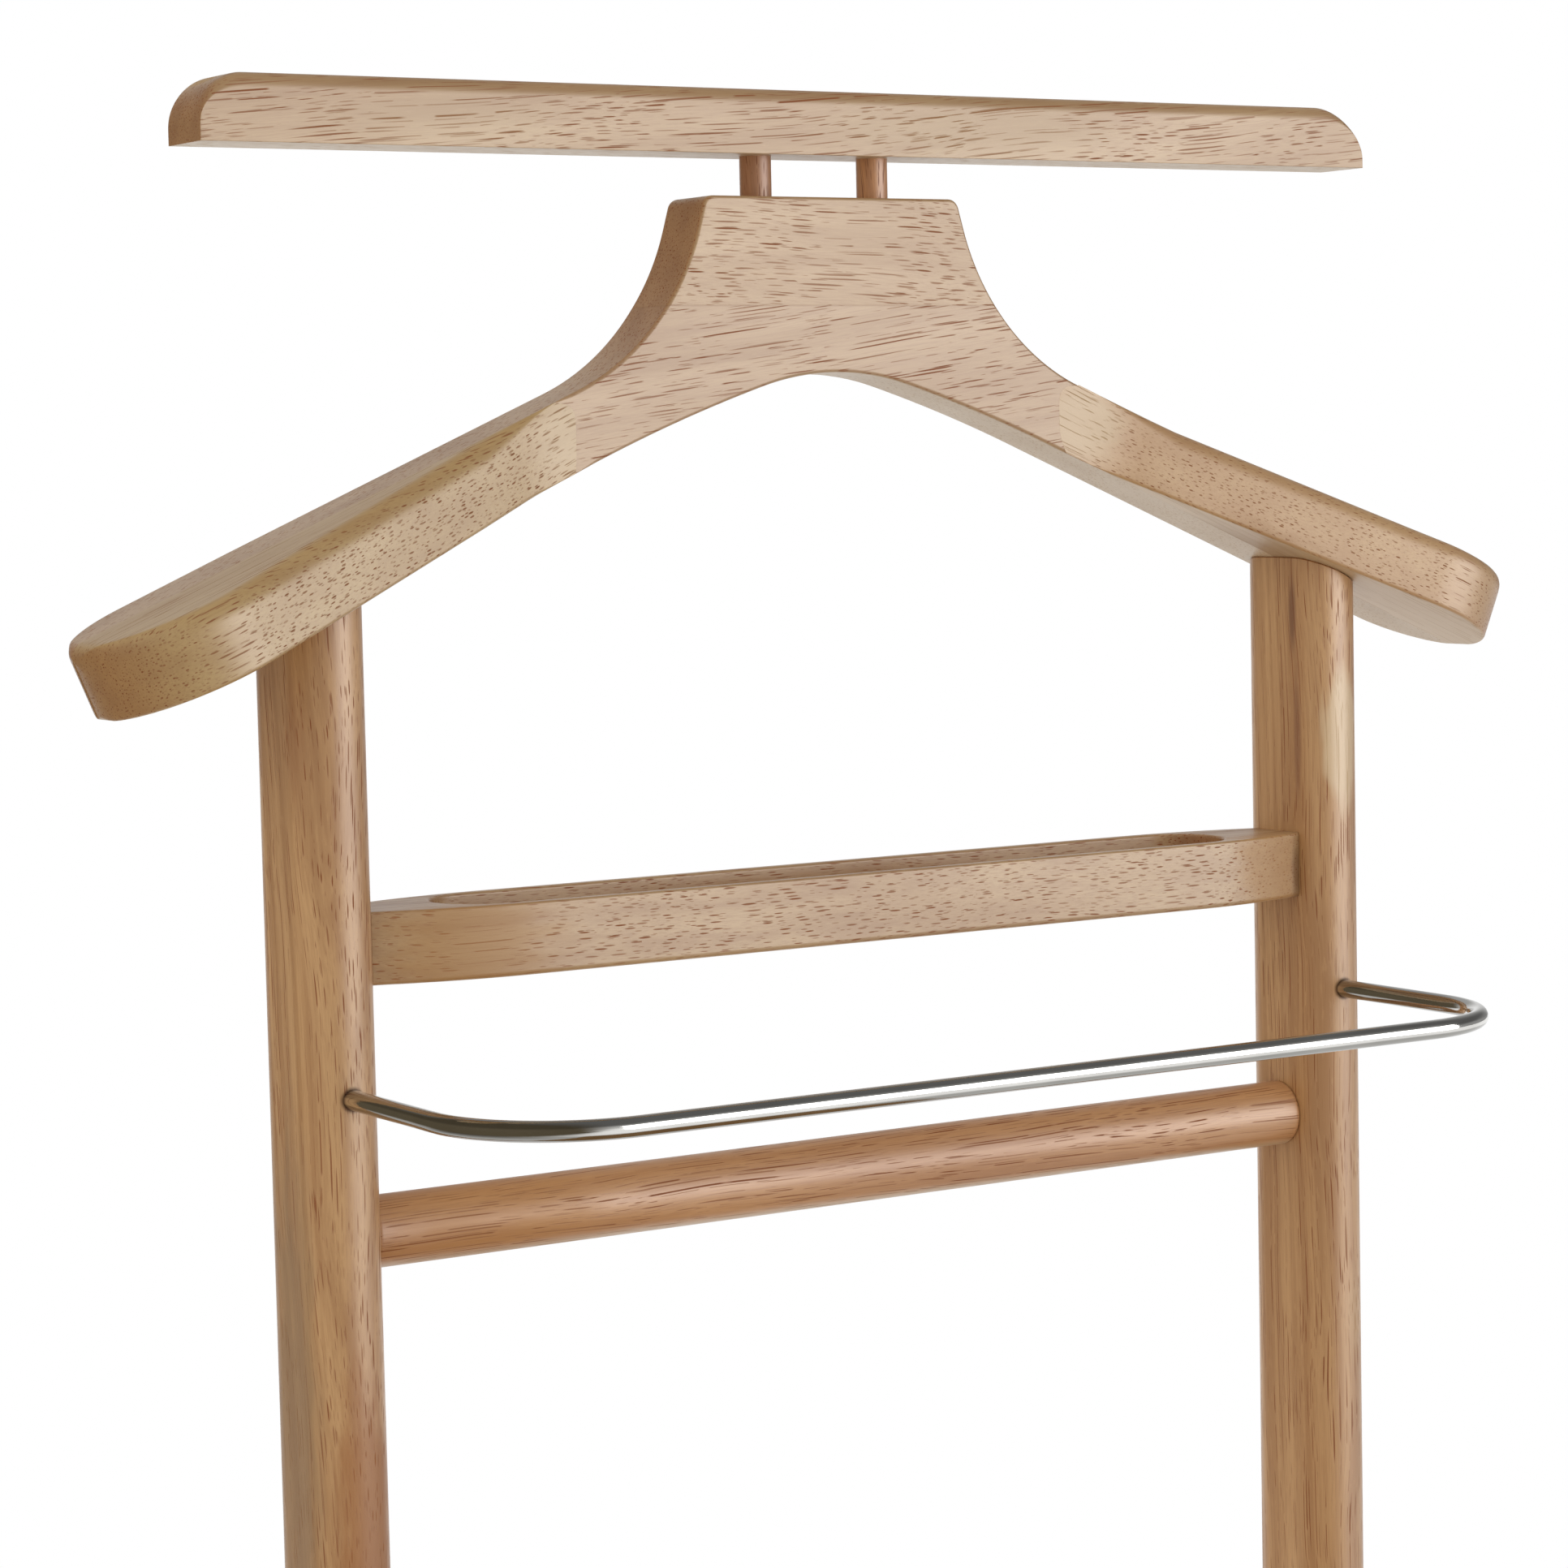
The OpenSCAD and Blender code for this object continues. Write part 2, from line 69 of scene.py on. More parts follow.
def chord(r, x):  # half the chord of a round of radius r, x away from its centre
    return math.sqrt(max(0.0, r * r - x * x))


rakeSin, rakeCos = sind(chair["rake"]), cosd(chair["rake"])


def backPoint(x, v, u):  # v runs back from the posts' middle, u up along the posts
    return Vector((x, backY + v * rakeCos + u * rakeSin, -v * rakeSin + u * rakeCos))


def hangerPoint(x, v, h):  # h is measured from the hanger's flat top
    return backPoint(x, v, h + chair["hangerHeight"])


def floorPoint(x, y, z):
    return Vector((x, y, z))


def frameOf(place, origin=(0, 0, 0), along=(1, 0, 0), across=(0, 1, 0)):
    # a piece's own axes: x along the grain, then the second axis, then their cross
    start = place(*origin)
    xAxis, yAxis = [(place(*[o + step for o, step in zip(origin, way)]) - start).normalized()
                    for way in (along, across)]
    zAxis = xAxis.cross(yAxis).normalized()
    return start * metre, Matrix((xAxis, zAxis.cross(xAxis), zAxis)).transposed().to_euler("XYZ")


def addObject(name, data):
    made = bpy.data.objects.new(name, data)
    scene.collection.objects.link(made)
    return made


def smoothPiece(name, mesh, sharp=40):
    mesh.shade_smooth()
    mesh.set_sharp_from_angle(angle=math.radians(sharp))
    return addObject(name, mesh)


def pieceFromLoft(name, rings, wearAndShade, place, sharp=40, zipped=False):
    # rings of equally many points, joined by quads and closed at both ends by one flat face,
    # or by a strip of quads between the two halves of the ring; each ring has one edge value or a list of
    # them
    count = len(rings[0])
    end = (len(rings) - 1) * count
    faces = []
    for a in range(0, end, count):
        for i in range(count):
            j = (i + 1) % count
            faces.append((a + i, a + j, a + count + j, a + count + i))
    if zipped:
        for i in range(count // 2 - 1):
            strip = (i, i + 1, count - 2 - i, count - 1 - i)
            faces += [strip[::-1], tuple(end + k for k in strip)]
    else:
        faces += [tuple(range(count - 1, -1, -1)), tuple(range(end, end + count))]
    mesh = bpy.data.meshes.new(name)
    mesh.from_pydata([place(*p) * metre for ring in rings for p in ring], [], faces)
    worn = mesh.attributes.new("edgeWear", "FLOAT", "POINT")
    worn.data.foreach_set("value", [mark for marks in wearAndShade
                                    for mark in (marks if isinstance(marks, list) else [marks] * count)])
    work = bmesh.new()
    work.from_mesh(mesh)
    bmesh.ops.remove_doubles(work, verts=work.verts, dist=1e-6)
    bmesh.ops.dissolve_degenerate(work, edges=work.edges, dist=1e-6)
    bmesh.ops.recalc_face_normals(work, faces=work.faces)
    work.to_mesh(mesh)
    work.free()
    return smoothPiece(name, mesh, sharp)


def settle(piece):
    # what the modifiers make becomes the mesh, and the modifiers go
    graph = bpy.context.evaluated_depsgraph_get()
    mesh = bpy.data.meshes.new_from_object(piece.evaluated_get(graph))
    piece.modifiers.clear()
    piece.data = mesh
    return piece


def evenShade(piece):
    modifier = piece.modifiers.new("evenShade", "WEIGHTED_NORMAL")
    modifier.keep_sharp = True
    modifier.weight = 60
    settle(piece)


def joined(name, parts):
    work = bmesh.new()
    for part in parts:
        work.from_mesh(part.data)
        bpy.data.objects.remove(part)
    mesh = bpy.data.meshes.new(name)
    work.to_mesh(mesh)
    work.free()
    return smoothPiece(name, mesh)


def arcPoints(centre, radius, start, end, steps):
    turns = [start + (end - start) * i / steps for i in range(steps + 1)]
    return [(centre[0] + radius * cosd(a), centre[1] + radius * sind(a)) for a in turns]


def quarterSteps(steps):
    # cosine, sine and edge value along a quarter round: wear and painted shade, strongest mid-round
    return [(cosd(90 * k / steps), sind(90 * k / steps), sind(180 * k / steps)) for k in range(steps + 1)]


def mirrorOutline(points):
    return points + [(-x, y) for x, y in reversed(points)]


def insetOutline(outline, inset):
    # the points of a counter-clockwise outline move inwards, by one distance or each by its own
    moved = []
    count = len(outline)
    insets = inset if isinstance(inset, list) else [inset] * count
    for i, (x, y) in enumerate(outline):
        before, after = outline[i - 1], outline[(i + 1) % count]
        e1 = Vector((x - before[0], y - before[1])).normalized()
        e2 = Vector((after[0] - x, after[1] - y)).normalized()
        n1, n2 = Vector((-e1.y, e1.x)), Vector((-e2.y, e2.x))
        middle = n1 + n2
        if middle.length < 1e-6:
            middle = n1
        middle.normalize()
        reach = insets[i] / max(0.35, middle.dot(n1))
        moved.append((x + middle.x * reach, y + middle.y * reach))
    return moved


def edgeLevels(low, high, lowR, highR, steps):
    # (inset, height, edge wear and painted shade) through a board from low to high with its edges rounded
    inner = 1.2  # the two faces start this far inside their rounded edge
    rounds = quarterSteps(steps)
    return ([(lowR + inner, low, 0)] + [(lowR * (1 - s), low + lowR * (1 - c), mark) for c, s, mark in rounds]
            + [(highR * (1 - c), high - highR * (1 - s), mark) for c, s, mark in rounds]
            + [(highR + inner, high, 0)])


def boardPiece(name, outline, levels, place, sharp=40):
    rings = [[(x, y, z) for x, y in insetOutline(outline, inset)] for inset, z, mark in levels]
    return pieceFromLoft(name, rings, [mark for inset, z, mark in levels], place, sharp)


def lathe(name, profile, place, count):
    # profile: (distance along, radius); place takes along, and two across
    turns = [2 * math.pi * i / count for i in range(count)]
    rings = [[(along, r * math.cos(a), r * math.sin(a)) for a in turns] for along, r in profile]
    return pieceFromLoft(name, rings, [0] * len(rings), place)


class Wires:
    # short ways to add and join nodes in one tree; kinds of node are given without its prefix
    def __init__(self, tree):
        self.tree = tree
        self.prefix = tree.bl_idname.removesuffix("Tree")

    def feed(self, socket, value):
        if hasattr(value, "is_output"):
            self.tree.links.new(value, socket)
        elif value is not None:
            socket.default_value = value

    def fill(self, node, inputs):
        for label, value in dict(inputs).items():
            self.feed(node.inputs[label], value)
        return node

    def node(self, kind, inputs=(), **settings):
        made = self.tree.nodes.new(self.prefix + kind)
        for key, value in settings.items():
            setattr(made, key, value)
        return self.fill(made, inputs)

    def add(self, kind, inputs=(), output=0, **settings):
        return self.node(kind, inputs, **settings).outputs[output]

    def use(self, group, **inputs):
        return self.node("Group", inputs, node_tree=group).outputs

    def math(self, operation, a, b=None, c=None, clamp=False):
        return self.add("Math", {0: a, 1: b, 2: c}, operation=operation, use_clamp=clamp)

    def times(self, a, b):
        return self.math("MULTIPLY", a, b)

    def larger(self, a, b):
        return self.math("MAXIMUM", a, b)

    def vector(self, operation, a, b=None):
        output = "Value" if operation in ("LENGTH", "DOT_PRODUCT") else "Vector"
        return self.add("VectorMath", {0: a, 1: b}, output, operation=operation)

    def parts(self, vector):
        return self.node("SeparateXYZ", {0: vector}).outputs

    def mix(self, factor, a, b, blend="MIX"):
        return self.add("Mix", {0: factor, 6: a, 7: b}, 2, data_type="RGBA", blend_type=blend)

    def ramp(self, value, fromLow, fromHigh, toLow=0.0, toHigh=1.0, smooth=True):
        inputs = dict(enumerate((value, fromLow, fromHigh, toLow, toHigh)))
        return self.add("MapRange", inputs, interpolation_type="SMOOTHSTEP" if smooth else "LINEAR")

    def noise(self, vector, sizes, detail=2.0, rough=0.5, distortion=0.0, output="Fac"):
        # sizes: how long its clouds are along each axis
        stretched = self.add("Mapping", {"Vector": vector, "Scale": sizes}, vector_type="TEXTURE")
        return self.add("TexNoise", {"Vector": stretched, "Scale": 1.0, "Detail": detail, "Roughness": rough,
                                     "Distortion": distortion}, output)

    def bump(self, height, strength, distance):
        return self.add("Bump", {"Height": height, "Strength": strength, "Distance": distance})


def newGroup(name, kind, inputs, outputs):
    # inputs: label, socket type and first value
    group = bpy.data.node_groups.new(name, kind + "NodeTree")  # kind is Shader or Geometry
    for label, socketType, value in inputs:
        socket = group.interface.new_socket(name=label, in_out="INPUT", socket_type="NodeSocket" + socketType)
        if value is not None:
            socket.default_value = value
    for label, socketType in outputs:
        group.interface.new_socket(name=label, in_out="OUTPUT", socket_type="NodeSocket" + socketType)
    start, end = group.nodes.new("NodeGroupInput"), group.nodes.new("NodeGroupOutput")
    return group, Wires(group), start.outputs, end


def makeVesselMarks():
    # vessels run along x: long lines on a face that follows the grain, short dashes where it
    # cuts across at a slant, and dots on end grain
    group, w, given, end = newGroup("vesselMarks", "Shader", [
        ("Vector", "Vector", None), ("Spacing", "Float", 0.00115), ("Radius", "Float", 0.17),
        ("Share", "Float", 0.7), ("Break", "Float", 0.02)], [("Mask", "Float")])
    x, y, z = w.parts(given["Vector"])
    across = w.add("CombineXYZ", {0: w.math("DIVIDE", y, given["Spacing"]),
                                  1: w.math("DIVIDE", z, given["Spacing"])})
    cells = w.node("TexVoronoi", {"Vector": across, "Scale": 1.0}, voronoi_dimensions="2D",
                   feature="F1").outputs
    pick = w.node("SeparateColor", {0: cells["Color"]}).outputs
    along = w.math("MULTIPLY_ADD", pick[0], 53.0, w.math("DIVIDE", x, given["Break"]))
    gaps = w.add("TexNoise", {"W": along, "Scale": 1.0, "Detail": 1.0}, "Fac", noise_dimensions="1D")
    chosen = w.math("LESS_THAN", pick[0], given["Share"])
    reach = w.times(given["Radius"], w.ramp(pick[1], 0, 1, 0.6, 1.25, False))
    inside = w.ramp(cells["Distance"], w.times(reach, 0.55), reach, 1, 0)
    strength = w.times(w.ramp(pick[2], 0, 1, 0.55, 1, False), w.ramp(gaps, 0.38, 0.46))
    w.feed(end.inputs[0], w.times(w.times(inside, chosen), strength))
    return group


def makeSoftPatch():
    # a soft ragged blob about a point, for pale places, knots, dark seams and painted shade such as contact
    # shadows
    group, w, given, end = newGroup("softPatch", "Shader", [
        ("Vector", "Vector", None), ("Centre", "Vector", (0, 0, 0)), ("Reach", "Vector", (0.01, 0.01, 0.01)),
        ("Ragged", "Float", 0.35), ("Hardness", "Float", 0.2)], [("Mask", "Float")])
    away = w.vector("DIVIDE", w.vector("SUBTRACT", given["Vector"], given["Centre"]), given["Reach"])
    wobble = w.math("SUBTRACT", w.noise(given["Vector"], (0.02, 0.004, 0.004)), 0.5)
    radius = w.math("ADD", w.vector("LENGTH", away), w.times(wobble, w.times(given["Ragged"], 2.0)))
    w.feed(end.inputs[0], w.ramp(radius, given["Hardness"], 1.0, 1, 0))
    return group


def makeRubberwood(vessels):
    # pale close wood: slow tone changes, faint growth bands, fine fibre and dark vessels;
    # faces that cut across the grain take the lacquer deeper
    group, w, given, end = newGroup("rubberwood", "Shader", [
        ("Vector", "Vector", None), ("Facing", "Vector", (0, 0, 0)), ("Offset", "Vector", (0, 0, 0)),
        ("Wear", "Float", 0.0), ("Pale", "Color", (0.57, 0.38, 0.22, 1)),
        ("Deep", "Color", (0.45, 0.25, 0.13, 1)), ("Vessel", "Color", (0.22, 0.10, 0.05, 1)),
        ("Bands", "Float", 0.35), ("Vessels", "Float", 0.7), ("Sway", "Float", 0.005),
        ("Grain", "Vector", (1, 0, 0)), ("PoreSize", "Float", 1.0)],
        [("Color", "Color"), ("Roughness", "Float"), ("Height", "Float"), ("Pores", "Float")])
    straight = w.vector("ADD", given["Vector"], given["Offset"])
    # the grain wanders, so the lines are never ruled and the dashes differ in length
    wander = w.noise(straight, (0.075, 0.03, 0.03), 1.0, output="Color")
    amount = w.add("CombineXYZ", {1: given["Sway"], 2: given["Sway"]})
    bend = w.vector("MULTIPLY", w.vector("SUBTRACT", wander, (0.5, 0.5, 0.5)), amount)
    spot = w.vector("ADD", straight, bend)
    clouds = w.noise(spot, (0.13, 0.012, 0.012))
    growth = w.noise(spot, (0.30, 0.0030, 0.0045), 3.0, 0.6, 0.3)
    fibre = w.noise(spot, (0.014, 0.00042, 0.00042), 3.0, 0.65)
    flecks = w.noise(spot, (0.005, 0.0009, 0.0009))
    tone = w.math("ADD", w.times(w.ramp(clouds, 0.3, 0.7), 0.55),
                  w.times(w.ramp(growth, 0.38, 0.68), given["Bands"]), clamp=True)
    colour = w.mix(tone, given["Pale"], given["Deep"])
    colour = w.mix(w.ramp(fibre, 0.42, 0.72, 0.0, 0.60), colour, given["Deep"])
    colour = w.mix(w.ramp(flecks, 0.55, 0.8, 0.0, 0.35), colour, given["Pale"])
    wide = w.use(vessels, Vector=spot, Spacing=0.00098, Radius=w.times(given["PoreSize"], 0.26),
                 Share=given["Vessels"], Break=0.018)
    narrow = w.use(vessels, Vector=w.vector("ADD", spot, (0.013, 0.0071, 0.0033)), Spacing=0.0008,
                   Radius=w.times(given["PoreSize"], 0.20), Share=given["Vessels"], Break=0.008)
    # vessels gather in some places and thin out in others
    crowd = w.ramp(w.noise(spot, (0.05, 0.007, 0.007), 1.0), 0.30, 0.50, 0.6, 1.0)
    marks = w.times(w.larger(wide[0], w.times(narrow[0], 0.6)), crowd)
    colour = w.mix(w.times(marks, 0.92), colour, given["Vessel"])
    turned = w.ramp(w.math("ABSOLUTE", w.vector("DOT_PRODUCT", given["Facing"], given["Grain"])), 0.35, 0.95)
    colour = w.mix(turned, colour, w.mix(1.0, colour, (0.80, 0.63, 0.48, 1), "MULTIPLY"))
    # painted light: undersides are made paler, standing in for the floor's light that they catch and mirror
    # at a grazing angle
    under = w.ramp(w.parts(given["Facing"])[2], -0.6, -0.9, 0, 0.5)
    colour = w.mix(under, colour, (0.70, 0.56, 0.34, 1))
    # partly dark seams and lacquer built up on the edges, partly painted shade where the round-overs turn
    # from the light: darker where the edge value is high
    worn = w.times(given["Wear"], w.ramp(clouds, 0.2, 0.8, 0.10, 0.28))
    w.fill(end, {"Color": w.mix(worn, colour, w.mix(0.30, given["Deep"], given["Vessel"])),
                 "Roughness": w.math("ADD", w.ramp(clouds, 0.2, 0.8, 0.40, 0.50), w.times(marks, 0.22)),
                 "Height": w.math("SUBTRACT", w.times(fibre, 0.25), marks), "Pores": marks})
    return group


patchGroup = makeSoftPatch()
woodGroup = makeRubberwood(makeVesselMarks())

tones = {  # linear colours of the lacquered wood: pale, deep, vessels
    "tan": ((0.52, 0.325, 0.145), (0.39, 0.210, 0.080), (0.28, 0.085, 0.032)),
    "pink": ((0.52, 0.325, 0.155), (0.40, 0.222, 0.098), (0.29, 0.090, 0.038)),
    "green": ((0.52, 0.335, 0.130), (0.41, 0.230, 0.078), (0.25, 0.085, 0.034)),
    "soft": ((0.56, 0.335, 0.140), (0.46, 0.240, 0.088), (0.28, 0.105, 0.042)),
    "gold": ((0.64, 0.360, 0.145), (0.46, 0.225, 0.078), (0.24, 0.070, 0.025)),
    "red": ((0.64, 0.330, 0.135), (0.47, 0.210, 0.075), (0.22, 0.060, 0.02)),
    "dark": ((0.72, 0.350, 0.135), (0.50, 0.210, 0.070), (0.15, 0.045, 0.02)),
    "brown": ((0.58, 0.330, 0.140), (0.43, 0.215, 0.080), (0.18, 0.06, 0.024)),
}


def newMaterial(name):
    material = bpy.data.materials.new(name)
    material.use_nodes = True
    tree = material.node_tree
    return material, Wires(tree), tree.nodes["Principled BSDF"]


def patch(centre, reach, colour, strength=0.5, ragged=0.3, hard=0.25, matt=0.0):
    # a mark on one piece, in metres on that piece's own axes; matt takes its gloss away
    return centre, reach, colour, strength, ragged, hard, matt


def woodMaterial(name, axes, tone, seed, bands=0.35, vessels=0.85, sway=0.005, tilt=(0, 0, 0), patches=(),
                 pore=1.0):
    # axes are the origin and turn of the piece's own axes, tilt the grain's turn from them in degrees
    material, w, shader = newMaterial(name)
    origin, turn = axes
    spot = w.add("TexCoord", output="Object")
    spot = w.add("Mapping", {"Vector": spot, "Location": origin, "Rotation": turn}, vector_type="TEXTURE",
                 label="piece axes")
    grain = w.add("Mapping", {"Vector": spot, "Rotation": Euler([math.radians(t) for t in tilt])},
                  vector_type="TEXTURE", label="grain direction")
    pale, deep, vessel = [(*colour, 1) for colour in tones[tone]]
    wood = w.use(woodGroup, Vector=grain, Facing=w.add("NewGeometry", output="Normal"),
                 Offset=(seed * 0.37, seed * 0.11, seed * 0.23), Pale=pale, Deep=deep, Vessel=vessel,
                 Wear=w.add("Attribute", output="Fac", attribute_name="edgeWear"), Bands=bands,
                 Vessels=vessels, Sway=sway, Grain=turn.to_matrix() @ Vector((1, 0, 0)), PoreSize=pore)
    colour, dull = wood["Color"], wood["Pores"]
    for centre, reach, tint, strength, ragged, hard, matt in patches:
        mask = w.use(patchGroup, Vector=spot, Centre=centre, Reach=reach, Ragged=ragged, Hardness=hard)[0]
        colour = w.mix(w.times(mask, strength), colour, (*tint, 1))
        if matt:
            dull = w.larger(dull, w.times(mask, matt))
    # the lacquer sinks into the open pores, so they keep their dark under the light's reflection
    w.fill(shader, {"Base Color": colour, "Roughness": wood["Roughness"],
                    "Normal": w.bump(wood["Height"], 0.25, 0.0004),
                    "Coat Weight": w.ramp(dull, 0, 1, 0.7, 0.05, False), "Coat Roughness": 0.40,
                    "Specular IOR Level": w.ramp(dull, 0, 1, 0.5, 0.08, False)})
    return material


def metalMaterial(name, tint, roughness, scratch, shade=0.0):
    # shade darkens what faces up or down, where the metal mirrors its own dark surroundings
    material, w, shader = newMaterial(name)
    spot = w.add("TexCoord", output="Object")
    fine = w.noise(spot, (0.03, 0.0006, 0.0006), 3.0)
    cloud = w.noise(spot, (0.02, 0.02, 0.02))
    up = w.parts(w.add("NewGeometry", output="Normal"))[2]
    dark = w.larger(w.ramp(up, 0.26, 0.48, 0, 0.42), w.ramp(up, -0.22, -0.40, 0, 0.58))
    colour = w.mix(w.ramp(cloud, 0.3, 0.7, 0, 1), (*tint, 1), (*[c * 0.88 for c in tint], 1))
    colour = w.mix(w.times(dark, shade), colour, (0.07, 0.065, 0.05, 1))
    w.fill(shader, {"Base Color": colour, "Metallic": 1.0,
                    "Roughness": w.ramp(fine, 0.3, 0.7, roughness, roughness + scratch),
                    "Normal": w.bump(fine, 0.08, 0.0001)})
    return material


def plasticMaterial(name, tint):
    material, w, shader = newMaterial(name)
    spot = w.add("TexCoord", output="Object")
    speck = w.noise(spot, (0.0006, 0.0006, 0.0006))
    scuff = w.noise(spot, (0.006, 0.006, 0.02), 3.0)
    worn = (*[min(1, c * 1.8) for c in tint], 1)
    w.fill(shader, {"Base Color": w.mix(w.ramp(scuff, 0.45, 0.75, 0, 0.5), (*tint, 1), worn),
                    "Roughness": w.ramp(scuff, 0.3, 0.7, 0.45, 0.62), "Normal": w.bump(speck, 0.3, 0.0001)})
    return material


def handOver(piece, node):
    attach(piece, "root")
    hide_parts(node)


def dressWood(piece, name, axes, tone, seed, node, turned=False, **look):
    if not turned:
        evenShade(piece)
    piece.data.materials.clear()
    piece.data.materials.append(woodMaterial(name, axes, tone, seed, **look))
    handOver(piece, node)


print("stage: shader groups made")

# the hanger: two core boards glued edge to edge, and a block in front of each arm
hanger = {
    "slope": 23.0, "armDrop": 16.4, "armT": 20.3, "tipReach": 263.0, "tipFlat": 0.03,
    "yokeHalf": 42.3, "flank": 74.0, "neckR": 70.0, "yokeCornerR": 3.5, "glueLine": 30.5,
    "archR": 82.0, "archHalf": 17.2, "easeR": 520.0, "flare": 16.1, "flareBlend": 13.0,
    "tipFrontR": 30.0, "tipBackR": 24.0, "shoulderR": 6.0,
    "edgeR": 1.0, "neckEdgeR": 1.1, "topBackR": 2.6, "lowEdgeR": 1.1, "tipEdgeR": 4.6,
    # how far before the tip the round-overs change, and how the blocks start, left and right
    "backBlend": 60.0, "frontBlend": 45.0, "noseBlend": 40.0, "noseRun": 2.5, "noseThin": 0.02,
    "noseFilm": 0.04,
    "noseStart": {-1: 4.4, 1: -4.4}, "noseTop": {-1: 7.0, 1: 8.0}, "noseLow": {-1: 0.5, 1: 2.5},
}
slope = hanger["slope"]


def hangerLines(h):
    # the same construction as the solid's: flank, hollow neck, arm and arch
    flank, r, archHalf, flare = h["flank"], h["neckR"], h["archHalf"], h["flare"]
    armUnder = -(h["armDrop"] + h["armT"]) / cosd(slope)
    dx, dz = r * (sind(flank) - sind(slope)), r * (cosd(slope) - cosd(flank))
    neckZ = ((dz - h["armDrop"] / cosd(slope) - tand(slope) * (h["yokeHalf"] + dx))
             / (1 - tand(slope) / tand(flank)))
    centre = (h["yokeHalf"] - neckZ / tand(flank) + r * sind(flank), neckZ + r * cosd(flank))
    archDx = h["archR"] * sind(archHalf) + h["easeR"] * (sind(slope) - sind(archHalf))
    archDz = h["archR"] * (1 - cosd(archHalf)) + h["easeR"] * (cosd(archHalf) - cosd(slope))
    tip = h["tipReach"] + h["tipFlat"]
    frontCentre = (tip - h["tipFrontR"], boardT - h["tipBackR"])
    flareEnd = (frontCentre[0] - h["tipFrontR"] * sind(flare), frontCentre[1] - h["tipFrontR"] * cosd(flare))
    return {
        "armUnder": armUnder, "centre": centre,
        "glueAngle": math.degrees(math.acos((centre[1] + h["glueLine"]) / r)),
        "archTop": armUnder - tand(slope) * archDx + archDz,
        "frontCentre": frontCentre, "backCentre": (tip - h["tipBackR"], frontCentre[1]),
        "flareEnd": flareEnd[0], "flareStart": flareEnd[0] + flareEnd[1] / tand(flare),
    }


lines = hangerLines(hanger)
glueAngle = lines["glueAngle"]


def neckPoint(steepness):
    x, z = lines["centre"]
    return x - hanger["neckR"] * sind(steepness), z - hanger["neckR"] * cosd(steepness)


def archPoint(share):
    # share 0 is the middle of the arch, 1 where it meets the arm's underside
    archR, archHalf, easeR = hanger["archR"], hanger["archHalf"], hanger["easeR"]
    first, second = archR * math.radians(archHalf), easeR * math.radians(slope - archHalf)
    run = share * (first + second)
    a = math.degrees(min(run, first) / archR)
    b = archHalf + math.degrees(max(0.0, run - first) / easeR)
    return (archR * sind(a) + easeR * (sind(b) - sind(archHalf)),
            lines["archTop"] - archR * (1 - cosd(a)) - easeR * (cosd(archHalf) - cosd(b)))


def onArm(down, up):
    return down * cosd(slope) + up * sind(slope), up * cosd(slope) - down * sind(slope)


def planFront(x):
    blend, start, steep = hanger["flareBlend"], lines["flareStart"], tand(hanger["flare"])
    if x < start - blend:
        return 0.0
    if x < start + blend:
        return -steep * (x - start + blend) ** 2 / (4 * blend)
    if x < lines["flareEnd"]:
        return -steep * (x - start)
    return lines["frontCentre"][1] - chord(hanger["tipFrontR"], x - lines["frontCentre"][0])


def planBack(x):
    if x < lines["backCentre"][0]:
        return boardT
    return lines["backCentre"][1] + chord(hanger["tipBackR"], x - lines["backCentre"][0])


def crownDrop(x, r):
    # how far the round-over has fallen where it passes across the arm's end
    return r - chord(r, max(0.0, x - hanger["tipReach"] + r))


def armPlaces(start):
    # distances down the slope, close together at the nose and round the tip
    noseEnd = lines["flareStart"] + hanger["flareBlend"]
    centre, r, flare = lines["frontCentre"][0], hanger["tipFrontR"], hanger["flare"]
    last = math.degrees(math.asin((hanger["tipReach"] - centre) / r))
    return ([start + (noseEnd - start) * (i / 12) for i in range(13)]
            + [noseEnd + (lines["flareEnd"] - noseEnd) * i / 10 for i in range(1, 11)]
            + [centre + r * sind((last + flare) * i / 20 - flare) for i in range(1, 21)])


def sectionRing(front, back, high, rounds, faceSteps, steps):
    # (depth, height) points round a section: front face upwards, top, back, underside
    topFront, topBack, lowBack, lowFront = [max(0.004, r) for r in rounds]
    ring, wearAndShade = [], []

    def corner(v, h, r, start):
        ring.extend(arcPoints((v, h), r, start, start - 90, steps))
        wearAndShade.extend(sind(180 * i / steps) if r > 0.3 else 0 for i in range(steps + 1))

    def face(v, first, last):
        ring.extend((v, first + (last - first) * i / faceSteps) for i in range(1, faceSteps))
        wearAndShade.extend([0] * (faceSteps - 1))

    corner(front + lowFront, lowFront, lowFront, 270)
    face(front, lowFront, high - topFront)
    corner(front + topFront, high - topFront, topFront, 180)
    corner(back - topBack, high - topBack, topBack, 90)
    face(back, high - topBack, lowBack)
    corner(back - lowBack, lowBack, lowBack, 0)
    return ring, wearAndShade


